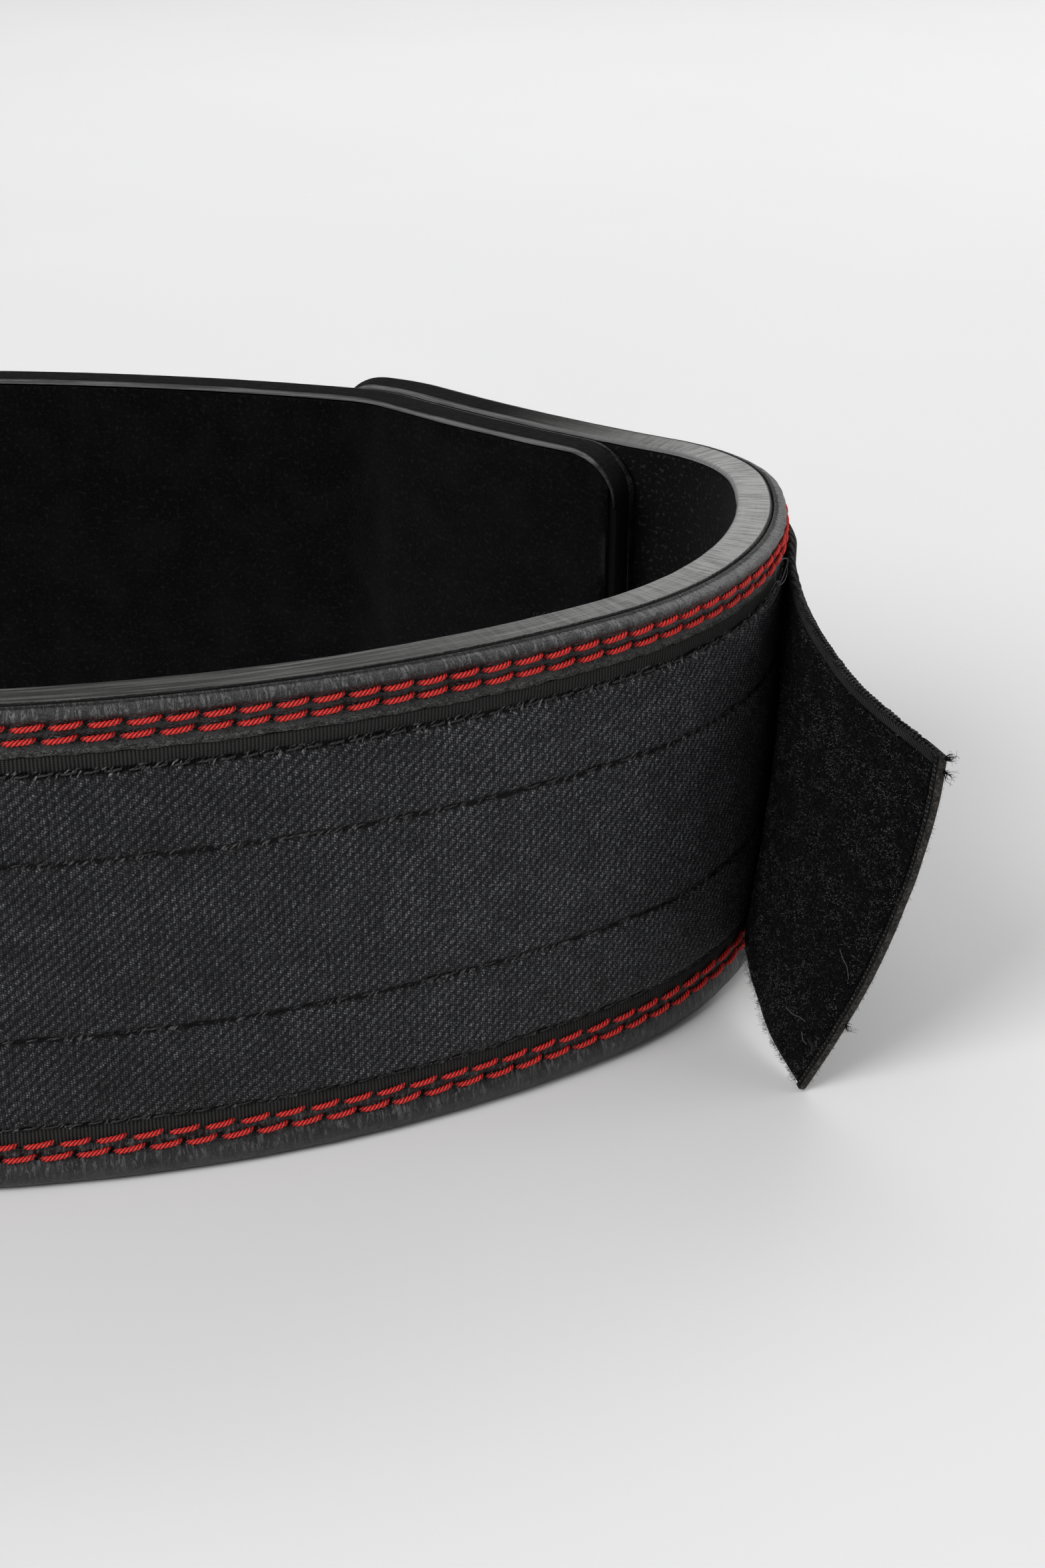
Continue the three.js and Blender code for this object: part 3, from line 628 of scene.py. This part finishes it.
# Softboxes: name, place, aim, size in metres, power in watts.
LIGHTS = (
    ("back_panel", (1.3, 2.3, 0.75), (0.1, 0.0, 0.1), (1.3, 0.5), 6),
    ("right_softbox", (1.4, -0.1, 0.8), (0.15, 0, 0.05), (0.9, 0.9), 4.9),
    ("front_left_softbox", (-0.9, -1.1, 1.2), (0.1, 0, 0.05), (0.9, 0.9), 23),
    ("far_floor_panel", (0.1, 1.3, 1.4), (0.1, 1.31, 0), (2.0, 0.9), 14.5),
)


def make_stage():
    bpy.ops.mesh.primitive_plane_add(size=12, location=(0, 0, 0))
    floor = bpy.context.object
    floor.name = "floor"
    floor.data.materials.append(floor_paint())
    world = bpy.data.worlds.new("studio")
    world.use_nodes = True
    # The room is dark near the horizon and light overhead.
    nodes, links = world.node_tree.nodes, world.node_tree.links
    where = nodes.new("ShaderNodeTexCoord")
    split = nodes.new("ShaderNodeSeparateXYZ")
    rise = nodes.new("ShaderNodeMapRange")
    rise.interpolation_type = "SMOOTHSTEP"
    rise.inputs["From Min"].default_value, rise.inputs["From Max"].default_value = 0.2, 0.6
    rise.inputs["To Min"].default_value, rise.inputs["To Max"].default_value = WORLD * 0.2, WORLD * 1.3
    links.new(where.outputs["Generated"], split.inputs[0])
    links.new(split.outputs[2], rise.inputs["Value"])
    links.new(rise.outputs[0], nodes["Background"].inputs[1])
    nodes["Background"].inputs[0].default_value = (1, 1, 1, 1)
    bpy.context.scene.world = world
    for row in LIGHTS:
        area_light(*row)
    bpy.context.scene.view_settings.view_transform = "Standard"


make_camera()
make_stage()

EDGE_PAINT = painted_edge()
LEATHER = leather()
SUEDE = suede()
HOOKS = hook_cloth()
TWILL = twill()
END_CLOTH = end_cloth()
WEBBING = webbing()
PILE = pile_cloth()
RED = thread("red_thread", (0.13, 0.0006, 0.001), (1.0, 0.05, 0.04), 0.36, 0.28, twisted=True)
BLACK = thread("black_thread", (0.002, 0.002, 0.0022), (0.04, 0.04, 0.042), 0.5, 0.4, twisted=True)


# Stitches

END_GAP = 5.0


def row_starts(first, pitch, low, high, seed):
    """Where the stitches of a row start, with small irregular steps."""
    count_back = int((first - low) // pitch)
    count = int((high - (first - count_back * pitch)) // pitch)
    starts = first + pitch * (np.arange(count) - count_back)
    return starts + 0.12 * np.random.default_rng(seed).uniform(-1, 1, len(starts))


# The near middle lies one girth further along the belt.
RED_STARTS = [row_starts(first + GIRTH, pitch, BELT_START + END_GAP, BELT_END - END_GAP, 11 + i)
              for i, (_, first, pitch) in enumerate(RED_ROWS)]


def edge_cut(s):
    """How far the belt's edges come in where its ends round off."""
    short = np.maximum(0, CORNER - np.minimum(s - BELT_START, BELT_END - s))
    return CORNER - np.sqrt(np.maximum(0, CORNER**2 - np.minimum(short, CORNER) ** 2))


def stitch_sink(s, z):
    """How far the red rows pull the leather in, in millimetres."""
    sink = np.zeros(np.broadcast(s, z).shape)
    for (row, _, pitch), starts in zip(RED_ROWS, RED_STARTS):
        dz = z - row
        near = np.searchsorted(starts, np.ravel(s))
        gaps = []
        for k in (near - 1, near):
            hole = starts[np.clip(k, 0, len(starts) - 1)] - 0.08 * pitch
            gaps.append(np.abs(np.ravel(s) - hole))
        ds = np.minimum(*gaps).reshape(np.shape(s))
        sink = sink + 0.28 * np.exp(-(dz / 0.9) ** 2)
        sink = sink + 0.75 * np.exp(-(ds**2 + dz**2) / 0.75**2)
        sink = sink + 0.22 * np.exp(-(ds / 1.6) ** 2 - (dz / 3.2) ** 2)
    return sink


def stations(low, high, step):
    return np.linspace(low, high, max(2, int(round((high - low) / step)) + 1))


def end_stations(low, high, step):
    inner = stations(low + 14, high - 14, step)
    near = low + 14 * (1 - np.cos(np.linspace(0, math.pi / 2, 18)))[:-1]
    far = high - 14 * (1 - np.cos(np.linspace(math.pi / 2, 0, 18)))[1:]
    return np.concatenate([near, inner, far])


# Belt body with the painted edge

def make_core():
    s = end_stations(BELT_START, BELT_END, 1.6)
    cut = edge_cut(s)[:, None]
    corner = np.linspace(0, math.pi / 2, 5)
    rim = 1.0
    inner_x = -THICKNESS + rim * (1 - np.sin(corner))
    inner_z = rim * (1 - np.cos(corner))
    outer_x = CREASE_FACE - 0.9 * (1 - np.sin(corner))
    outer_z = 0.9 * (1 - np.cos(corner))
    # From the outer foot up the outer face, over the top and down the inner face.
    crown = np.linspace(0, 1, 6)[1:-1]
    top_n = outer_x[0] + (inner_x[0] - outer_x[0]) * crown
    n = np.concatenate([outer_x, [CREASE_FACE] * 2, outer_x[::-1], top_n, inner_x, [-THICKNESS],
                        [-THICKNESS + 1.5] * 4, [-THICKNESS], inner_x[::-1], top_n[::-1]])
    z = np.concatenate([outer_z, [30, 70], HEIGHT - outer_z[::-1], [HEIGHT] * 4, HEIGHT - inner_z,
                        [HEIGHT - 1.2], [HEIGHT - 1.5, 70, 30, 1.5], [1.2], inner_z[::-1], [0] * 4])
    lift = np.where(z < HEIGHT / 2, cut, -cut)
    ring_n = np.broadcast_to(n, (len(s), len(n))).copy()
    ring_z = z[None] + lift
    top = z > HEIGHT - 1.1
    wave = 0.10 * noise_1d(s, 9, 3)[:, None] + 0.05 * noise_1d(s, 2.6, 4)[:, None]
    ring_n = ring_n + np.where((n < -8) & (n > -THICKNESS - 0.1), wave, 0)
    ring_n = ring_n + np.where((n > -3.5) & top, 0.6 * wave, 0)
    return tube_strip("painted_edge_body", s, ring_n, ring_z,
                      nodes=["belt_core"], slot="painted_edge", material=EDGE_PAINT)


# Outer leather

def facing_front(s, z):
    """Outward distance of the leather's face between its two rounded edges."""
    bulge = 0.55 * np.exp(-((z - 4.0) / 2.6) ** 2) + 0.25 * np.exp(-((z - 100.0) / 1.6) ** 2)
    swell = 0.10 * noise_2d(s, z, 7.0, 5) + 0.05 * noise_2d(s, z * 1.5, 2.2, 6)
    return 1.05 + bulge + swell


def make_facing():
    low, high = BELT_START + 0.3, BELT_END - 0.3
    s = end_stations(low, high, 0.85)
    edge_turn = np.sin(np.linspace(0, math.pi / 2, 6))
    edge_rise = 1 - np.cos(np.linspace(0, math.pi / 2, 6))
    foot_z = 0.3 + 2.4 * edge_rise
    foot_up = np.array([3.3, 4.0, 4.8, 5.6, 6.3, 6.9, 7.3, 7.7, 8.1, 8.6, 9.1, 9.6, 10.1, 10.6])
    head_down = np.array([92.6, 92.9, 93.5, 94.1, 94.6, 95.0, 95.4, 95.8,
                          96.2, 96.7, 97.2, 97.6, 98.0, 98.4, 98.9, 99.3])
    head_z = 101.05 - 1.45 * edge_rise[::-1]
    z = np.concatenate([foot_z, foot_up, [11.2, 91.8], head_down, head_z, [101.3, 70, 30, 0.3]])
    # Rounded foot, face, channel under the tape, face, rounded head, back.
    kinds = np.repeat([0, 1, 2, 1, 3, 4], [6, 14, 2, 16, 6, 4])
    cut = edge_cut(s)[:, None]
    ring_z = z[None] + np.where(z < HEIGHT / 2, cut, -cut)
    S = np.broadcast_to(s[:, None], ring_z.shape)
    front = facing_front(S, ring_z) - stitch_sink(S, ring_z)
    past_tape = (S < TAPE_START - 0.5) | (S > TAPE_END + 0.5)
    channel = np.where(past_tape, front, -0.62)
    ring_n = front.copy()
    ring_n[:, :6] = -1.26 + (front[:, :6] + 1.26) * edge_turn
    ring_n[:, kinds == 2] = channel[:, kinds == 2]
    ring_n[:, kinds == 3] = -1.35 + (front[:, kinds == 3] + 1.35) * edge_turn[::-1]
    ring_n[:, kinds == 4] = FACING_BACK
    # The raw upper edge lies on the tape, and it wanders a little.
    raw = 0.22 * noise_1d(s, 3.0, 21) + 0.12 * noise_1d(s, 1.1, 22)
    ring_z[:, 22] += raw - 0.15
    ring_z[:, 23] += 0.7 * raw
    ring_n[:, 22] = np.where(past_tape[:, 22], ring_n[:, 22], 0.92)
    return tube_strip("leather_face", s, ring_n, ring_z,
                      nodes=["leather_facing"], slot="outer_leather", material=LEATHER)


def make_lining():
    low, high = BELT_START + 1.8, BELT_END - 1.8
    s = stations(low, high, 2.0)
    cut = edge_cut(s)[:, None]
    z = np.concatenate([[1.8, 99.8], [99.8, 99.4], np.linspace(97, 4, 26), [2.2, 1.8]])
    n = np.concatenate([[-8.8, -8.8], [-9.64, -10.0], np.full(26, -10.0), [-10.0, -9.64]])
    ring_z = z[None] + np.where(z < HEIGHT / 2, cut, -cut)
    S = np.broadcast_to(s[:, None], ring_z.shape)
    dents = np.zeros(ring_z.shape)
    for row, _, _ in RED_ROWS:
        dents = dents + 0.3 * np.exp(-((ring_z - row) / 1.0) ** 2)
    face = n < -9.9
    ring_n = n[None] + np.where(face, 0.12 * noise_2d(S, ring_z, 12, 31) + dents, 0)
    return tube_strip("suede_face", s, ring_n, ring_z,
                      nodes=["suede_lining"], slot="suede", material=SUEDE)


# Hook tape

def tape_front(s, z):
    low, high = z - TAPE_LOW, TAPE_HIGH - z
    edge = np.minimum(low, high)
    field = smooth(edge, 4.0, 5.0)
    face = SELVEDGE_FACE + (HOOK_FACE - SELVEDGE_FACE) * field
    face = face + field * (0.10 * noise_2d(s, z, 16, 41) + 0.06 * noise_2d(s, z, 4, 42))
    for k, (row, pitch) in enumerate(BLACK_ROWS):
        wander = 0.35 * noise_1d(s, 9, 50 + k)
        depth = 0.55 + 0.35 * noise_1d(s, 2.2, 60 + k)
        face = face - depth * np.exp(-((z - row - wander) / 0.85) ** 2)
    return face


def make_tape():
    s = stations(TAPE_START, TAPE_END, 1.0)
    up = np.concatenate([[0, 0.3, 1.5, 3.0, 3.8, 4.3, 4.8, 5.3, 6.2], np.linspace(7.5, 21.5, 12),
                         np.linspace(22.3, 26.1, 8), np.linspace(27.5, 57.5, 20), np.linspace(58.7, 63.5, 9),
                         np.linspace(65, 75.5, 8), [76.6, 77.5, 78.0, 78.5, 79.0, 79.8, 81.3, 82.5, 82.8]])
    z = TAPE_LOW + up
    Z = np.broadcast_to(np.concatenate([z, z[::-1]]), (len(s), 2 * len(z)))
    S = np.broadcast_to(s[:, None], Z.shape)
    ring_n = np.where(np.arange(2 * len(z)) < len(z), tape_front(S, Z), -0.3)
    ring_n[:, 0] = 0.2
    ring_n[:, len(z) - 1] = 0.2
    return tube_strip("hook_tape_cloth", s, ring_n, Z,
                      nodes=["hook_tape"], slot="hook_fabric", material=HOOKS)


# Thread: twisted strands through centre lines

def strands(centres, normals, radius, plies=3, per_ply=4, twist=2.7, taper=0.25, groove=0.42):
    """Tubes of twisted thread, with how near each point is to a crest and to an end.

    centres and normals are lists of (count, 3) arrays."""
    points, faces, crests, start = [], [], [], 0
    size = plies * per_ply
    for line, normal in zip(centres, normals):
        count = len(line)
        way = unit(np.gradient(line, axis=0))
        side = unit(np.cross(way, normal))
        up = np.cross(side, way)
        run = np.concatenate([[0], np.cumsum(np.linalg.norm(np.diff(line, axis=0), axis=1))])
        angle = 2 * math.pi * (np.arange(size)[None] / size) + 2 * math.pi * run[:, None] / twist
        t = run / run[-1]
        thin = 1 - taper * np.abs(2 * t - 1) ** 4
        wave = 1 - groove * (0.5 - 0.5 * np.cos(2 * math.pi * np.arange(size) / per_ply))
        r = radius * thin[:, None] * wave[None]
        ring = (line[:, None] + side[:, None] * (r * np.cos(angle))[..., None]
                + up[:, None] * (r * np.sin(angle))[..., None])
        points.append(ring.reshape(-1, 3))
        crest = 0.5 + 0.5 * np.cos(2 * math.pi * np.arange(size) / per_ply)
        shares = np.broadcast_arrays(crest, np.abs(2 * t - 1)[:, None], 0.0)
        crests.append(np.stack(shares, -1).reshape(-1, 3))
        faces.append(ring_faces(count, size, start))
        start += count * size
    return np.vstack(points), np.vstack(faces), np.vstack(crests)


def stitch_lines(starts, pitch, row, surface, rings, seed, rise, slant, length=0.84):
    """Centre lines of the stitches of a row, each a low arch between its two holes."""
    r = np.random.default_rng(seed)
    lines, normals = [], []
    t = np.linspace(0, 1, rings)
    for s0 in starts:
        span = length * pitch * (1 + 0.03 * r.uniform(-1, 1))
        s = s0 + span * t
        tilt = slant * (1 + 0.35 * r.uniform(-1, 1))
        z = row + tilt * (t - 0.5) + 0.22 * (2 * t - 1) ** 3 + 0.06 * r.uniform(-1, 1)
        arch = rise * (1 - np.abs(2 * t - 1) ** 3.5) - 0.55 * np.abs(2 * t - 1) ** 7
        n = surface(s, z) + arch
        lines.append(on_belt(s, n, z))
        normals.append(on_belt(s, n + 1, z) - lines[-1])
    return lines, normals


def leather_level(s, z):
    return facing_front(s, z) - 0.28


def make_red(name, rows):
    lines, normals = [], []
    for i in rows:
        row, _, pitch = RED_ROWS[i]
        level = leather_level if i < 3 else (lambda s, z: np.full(np.shape(s), 0.75))
        a, b = stitch_lines(RED_STARTS[i], pitch, row, level, rings=18, seed=70 + i,
                            rise=0.42, slant=0.42 if i < 2 else 0.5)
        lines += a
        normals += b
    points, faces, crests = strands(lines, normals, 0.63)
    return mesh_piece(name, points, faces, crests, material=RED, slot="outer_leather")


def make_black_rows():
    lines, normals = [], []
    for k, (row, pitch) in enumerate(BLACK_ROWS):
        starts = row_starts(TAPE_START + 3, pitch, TAPE_START + 2, TAPE_END - 3, 90 + k)
        level = lambda s, z: np.full(np.shape(s), 0.62)
        a, b = stitch_lines(starts, pitch, row, level, length=0.8, rise=0.25, slant=0.3,
                            rings=7, seed=95 + k)
        lines += a
        normals += b
    points, faces, crests = strands(lines, normals, 0.3, plies=2, per_ply=3, groove=0.25)
    return mesh_piece("tape_stitches", points, faces, crests, material=BLACK, slot="hook_fabric")


# Strap

def strap_grid(reach, chain_across, chain_depth):
    """Points and flat coordinates of a strap layer, whose ring goes up one face and down the other."""
    across = np.broadcast_to(chain_across, (len(reach), chain_across.shape[-1]))
    depth = np.broadcast_to(chain_depth, across.shape)
    points = strap_points(reach, across, depth)
    flat = np.stack(np.broadcast_arrays(reach[:, None], across * STRAP_WIDTH, depth), -1)
    return points, flat


# The pile ends this far along the flap. Beyond it lies the folded end.
PILE_END = FLAP_LENGTH - 2.3


def strap_reach(step, end):
    sewn_end = FLAP_ROOT - STRAP_START
    return np.concatenate([np.linspace(end, 0, int(end / step)), np.arange(-2.0, sewn_end, -2.0), [sewn_end]])


def strap_layer(name, reach, across, face, back, **keys):
    ring_across = np.concatenate([across, across[::-1]])
    ring_depth = np.concatenate([face, back[..., ::-1]], -1)
    points, flat = strap_grid(reach, ring_across, ring_depth)
    size = points.shape[1]
    faces = np.vstack([ring_faces(len(reach), size), end_caps(len(reach), size)])[:, ::-1]
    return mesh_piece(name, points, faces, flat, **keys)


def make_strap():
    reach = strap_reach(1.0, PILE_END)
    width = STRAP_WIDTH
    across = np.concatenate([[0, 0.5, 1.2, 2, 3, 4.5, 6], np.linspace(7.5, 75.5, 58),
                             [76.6, 77.4, 77.8, 78.2, 79.3, 80.5]]) / width
    R = reach[:, None]
    pile = 1 - smooth(across * width, 77.4, 78.2)
    rim = smooth(across * width, 0, 1.3)
    rough = 0.22 * noise_2d(R, across * width, 1.7, 101) + 0.18 * noise_2d(R, across * width, 5.5, 102)
    face = 0.62 - 0.55 * pile * rim + rough * pile * rim
    back = np.full(face.shape, 1.25)
    strap_layer("strap_pile", reach, across, face, back,
                nodes=["strap_loop_tape"], slot="loop_fabric", material=PILE)
    reach = strap_reach(2.0, FLAP_LENGTH - 1.3)
    across = np.linspace(0, 0.992, 24)
    thin = smooth(reach, FLAP_LENGTH - 8, FLAP_LENGTH - 6)[:, None]
    face = np.full((len(reach), 24), 1.2)
    back = np.full((len(reach), 24), 2.45) - 0.3 * smooth(reach, 0, 18)[:, None] - 0.2 * thin
    strap_layer("strap_back", reach, across, face, back,
                nodes=["strap_backing"], slot="strap_webbing", material=WEBBING)


def make_selvedges():
    """The twill band along the upper edge on the pile side, with a row of beads at its rim."""
    reach = strap_reach(1.0, PILE_END)
    across = np.linspace(77.9, 79.6, 7) / STRAP_WIDTH
    bulge = 0.12 * np.sin(np.linspace(0, math.pi, 7))
    face = np.broadcast_to(0.3 - bulge, (len(reach), 7))
    back = np.full((len(reach), 7), 0.7)
    strap_layer("strap_selvedge", reach, across, face, back, slot="strap_webbing", material=TWILL)
    pitch = 1.0
    r = np.arange(FLAP_LENGTH - 0.4, FLAP_ROOT - STRAP_START, -pitch / 6)
    outward = strap_frame(r)[2]
    middle = 79.95 + 0.12 * noise_1d(r, 2.0, 130)
    centre = strap_points(r, middle[:, None] / STRAP_WIDTH, np.full((len(r), 1), 1.2))[:, 0]
    bead = np.abs(np.sin(math.pi * r / pitch)) ** 0.7 * (1 + 0.25 * noise_1d(r, 1.0, 131))
    radius = 0.4 + 0.42 * bead
    side = np.cross(unit(np.gradient(centre, axis=0)), outward)
    angle = np.linspace(0, 2 * math.pi, 8, endpoint=False)
    ring = (centre[:, None] + side[:, None] * (radius[:, None] * np.cos(angle))[..., None] * 0.9
            + outward[:, None] * (radius[:, None] * np.sin(angle))[..., None] * 1.2)
    flat = np.stack(np.broadcast_arrays(r[:, None], angle[None] * 0.5 + 80, 0.0), -1)
    mesh_piece("strap_beads", ring, ring_faces(len(r), 8), flat, slot="strap_webbing", material=TWILL)


def make_binding():
    """The fold round the strap's free end: rows of ribs that run along the end, and a slot with painted shade."""
    # Depth and reach of the fold's outline, from its back over the end to the pile.
    outline = [(2.02, 89.8), (2.1, 91.5), (2.15, 93.6), (2.15, 94.9), (2.05, 95.5), (1.75, 95.85),
               (1.4, 96.0), (0.9, 95.95), (0.5, 95.85), (0.3, 95.8), (0.05, 95.7), (-0.05, 95.5),
               (0.0, 95.3), (0.4, 95.15), (0.4, 95.05), (-0.02, 94.9), (-0.12, 94.6), (-0.1, 94.3), (0.02, 94.05), (0.6, 93.9),
               (1.1, 93.85), (1.3, 93.95), (1.35, 94.0), (1.35, 94.4), (1.4, 94.9), (1.5, 94.9),
               (1.6, 94.5), (1.8, 93.5), (1.9, 92.0), (2.0, 89.9)]
    depth, reach = (np.array(v) for v in zip(*outline))
    across = np.linspace(-0.001, 0.999, 300)
    run = across * STRAP_WIDTH
    wave = 0.10 * noise_2d(run[:, None], reach[None], 6, 120)
    seen = (depth < 1.2) & (reach > 93.8)
    dots = np.sin(2 * math.pi * run / 0.95)[:, None] * np.where(seen & (reach < 95.1), 0.12, 0.0)[None]
    rough = 0.12 * noise_2d(run[:, None], reach[None] * 2, 0.7, 121) * seen[None]
    points = strap_points(reach, np.broadcast_to(across, (len(reach), len(across))),
                          (depth[None] + wave + dots + rough).T).transpose(1, 0, 2)
    flat = np.stack(np.broadcast_arrays(run[:, None], reach[None], depth[None]), -1)
    size = len(outline)
    faces = np.vstack([ring_faces(len(across), size), end_caps(len(across), size)])
    return mesh_piece("strap_end_fold", points, faces, flat,
                      nodes=["strap_end_binding"], slot="binding_fabric", material=END_CLOTH)


# Fibres: thin curled ribbons

def fibres(name, roots, outward, length, width, curl, segments, material, slot, seed, lean=0.6):
    """Ribbons that grow from roots along outward. curl is in radians, sizes in millimetres."""
    r = np.random.default_rng(seed)
    count = len(roots)
    tangent = unit(np.cross(outward, r.normal(size=(count, 3))))
    other = np.cross(outward, tangent)
    size = length * r.uniform(0.6, 1.3, count)
    t = np.linspace(0, 1, segments + 1)
    bend = curl * r.uniform(0.6, 1.4, count)
    angle = bend[:, None] * t[None]
    x = np.sin(angle) / bend[:, None]
    y = (1 - np.cos(angle)) / bend[:, None]
    tilt = lean * r.uniform(0, 1, count)
    a = outward * np.cos(tilt)[:, None] + tangent * np.sin(tilt)[:, None]
    b = tangent * np.cos(tilt)[:, None] - outward * np.sin(tilt)[:, None]
    twist = 0.3 * np.sin(t[None] * 5 + r.uniform(0, 6, count)[:, None])
    line = roots[:, None] + size[:, None, None] * (x[..., None] * a[:, None] + y[..., None] * b[:, None]
                                                     + (twist * t[None])[..., None] * other[:, None])
    thin = width * (1 - 0.6 * t)[None, :, None]
    left = line + other[:, None] * thin / 2
    right = line - other[:, None] * thin / 2
    points = np.stack([left, right], 2)
    base = np.arange(count)[:, None] * (segments + 1) * 2
    k = np.arange(segments)[None] * 2
    quads = np.stack([base + k, base + k + 1, base + k + 3, base + k + 2], -1).reshape(-1, 4)
    return mesh_piece(name, points, quads, material=material, slot=slot)


def make_pile_fibres():
    r = np.random.default_rng(200)
    count = 17000
    reach = r.uniform(-6, PILE_END - 0.3, count)
    across = r.uniform(0.3, 77.7, (count, 1)) / STRAP_WIDTH
    roots = strap_points(reach, across, np.full((count, 1), 0.15))[:, 0]
    outward = strap_frame(reach)[2]
    return fibres("pile_fibres", roots, -outward, 1.3, 0.085, 4.4, 5, FIBRE, "loop_fabric", 201, lean=1.1)


def make_edge_fuzz():
    """Fibres at the flap's lower edge and free end, and along the raw edge of the outer leather."""
    r = np.random.default_rng(210)
    reach = r.uniform(25, FLAP_LENGTH - 2, 800)
    foot = strap_points(reach, np.zeros((800, 1)), r.uniform(-0.1, 1.0, (800, 1)))[:, 0]
    low, high, _ = strap_frame(reach)
    down = unit(low - high)
    spread = unit(down + 0.55 * r.normal(size=(800, 3)))
    fibres("edge_loops", foot - down * 0.2, spread, 1.9, 0.07, 3.6, 7, BLACK_FIBRE,
           "loop_fabric", 211, lean=0.3)
    across = r.uniform(0, 1, (900, 1))
    ends = np.full(900, FLAP_LENGTH - 0.2)
    roots = strap_points(ends, across, r.uniform(0.1, 2.0, (900, 1)))[:, 0]
    along = roots - strap_points(ends - 2, across, np.ones((900, 1)))[:, 0]
    spread = unit(along + 1.1 * r.normal(size=(900, 3)))
    fibres("end_fuzz", roots, spread, 0.9, 0.06, 2.2, 4, BLACK_FIBRE, "binding_fabric", 212, lean=0.5)
    s = np.sort(r.uniform(TAPE_START, TAPE_END, 5200))
    raw = 0.7 * (0.22 * noise_1d(s, 3.0, 21) + 0.12 * noise_1d(s, 1.1, 22))
    z = 92.85 + raw + r.uniform(-0.35, 0.3, len(s))
    n = 0.95 + r.uniform(-0.1, 0.1, len(s))
    roots = on_belt(s, n, z)
    outward = on_belt(s, n + 1, z) - roots + np.array([0, 0, -0.9]) + 0.5 * r.normal(size=(len(s), 3))
    fibres("raw_edge_fuzz", roots, unit(outward), 0.5, 0.055, 2.0, 3, GREY_FIBRE,
           "outer_leather", 213, lean=0.5)


def make_loose_threads():
    """Thin stray threads: one looped out of the stitching at the bend, three lying on the pile."""
    # Distance along the belt, outward and up.
    loops = [[(208, 1.7, 89.5), (213, 2.6, 91.0), (219, 3.6, 93.4), (225, 3.4, 96.0), (221, 3.0, 97.3),
              (216, 3.0, 95.2), (220, 3.2, 92.2), (228, 2.9, 91.4), (233, 2.4, 93.6)],
             [(212, 1.8, 88.2), (217, 2.4, 89.0), (222, 2.8, 91.6), (219, 2.6, 93.0), (214, 2.2, 91.2)]]
    lines = [spline_points(place(*np.array(path, float).T), 90)[0] for path in loops]
    normals = [np.tile([0.3, -1.0, 0.2], (len(line), 1)) for line in lines]
    points, faces, crests = strands(lines, normals, 0.16, plies=2, per_ply=3, groove=0.3)
    mesh_piece("loose_loops", points, faces, crests, material=BLACK, slot="hook_fabric")
    # Reach along the flap and share of its width.
    lying = [[(80, .114), (82.5, .12), (85, .134), (87, .14)], [(87.4, .112), (89, .1), (90.6, .101)],
             [(86, .37), (88, .357), (89.6, .352), (91.6, .33)]]
    lines, normals = [], []
    for path in lying:
        reach, across = np.array(path).T
        centre = strap_points(reach, across[:, None], np.full((len(reach), 1), -0.5))[:, 0]
        line = spline_points(centre, 40)[0]
        lines.append(line)
        normals.append(np.tile(strap_frame(reach[:1])[2][0], (len(line), 1)))
    points, faces, crests = strands(lines, normals, 0.13, plies=2, per_ply=3, groove=0.3)
    mesh_piece("lying_threads", points, faces, crests, material=PALE, slot="loop_fabric")


def make_tufts():
    """Ends of sewing thread that stand out of the strap's free end, and stray hairs on the belt's rim."""
    r = np.random.default_rng(220)
    roots, ways = [], []
    for across, rise, count in ((0.995, 1.0, 44), (0.965, 0.0, 30), (0.225, 0.0, 30)):
        reach = np.array([FLAP_LENGTH - 2, FLAP_LENGTH - 0.2])
        before, end = strap_points(reach, np.full((2, 1), across), np.ones((2, 1)))[:, 0]
        low, high, _ = strap_frame(np.array([FLAP_LENGTH]))
        way = unit(unit(end - before) + unit(high - low)[0] * rise)
        roots.append(end + r.normal(size=(count, 3)) * 0.14)
        ways.append(unit(way + 0.2 * r.normal(size=(count, 3))))
    fibres("thread_ends", np.vstack(roots), np.vstack(ways), 2.6, 0.16, 0.9, 5, BLACK_FIBRE,
           "binding_fabric", 221, lean=0.15)
    s = GIRTH + r.uniform(146, 156, 14)
    roots = on_belt(s, r.uniform(-9.5, -6, 14), 101.5)
    ways = unit(np.tile([0.6, 0.2, 0.5], (14, 1)) + 0.5 * r.normal(size=(14, 3)))
    fibres("rim_hairs", roots, ways, 2.2, 0.06, 2.6, 8, PALE, "painted_edge", 222, lean=0.4)


BLACK_FIBRE = thread("black_fibre", (0.001, 0.001, 0.0012), (0.012, 0.012, 0.014), 0.6, 0.1)
FIBRE = thread("fibre", (0.0015, 0.0015, 0.002), (0.17, 0.17, 0.178), 0.5, 0.3)
GREY_FIBRE = thread("grey_fibre", (0.01, 0.01, 0.0095), (0.12, 0.117, 0.11), 0.6, 0.3)
PALE = thread("pale_thread", 0.03, (0.1, 0.1, 0.104), 0.6, 0.3)

make_core()
make_facing()
make_lining()
make_tape()
make_red("red_stitches_top", (0, 1))
make_red("red_stitches_foot", (2, 3))
make_black_rows()
make_strap()
make_selvedges()
make_binding()
make_pile_fibres()
make_edge_fuzz()
make_loose_threads()
make_tufts()
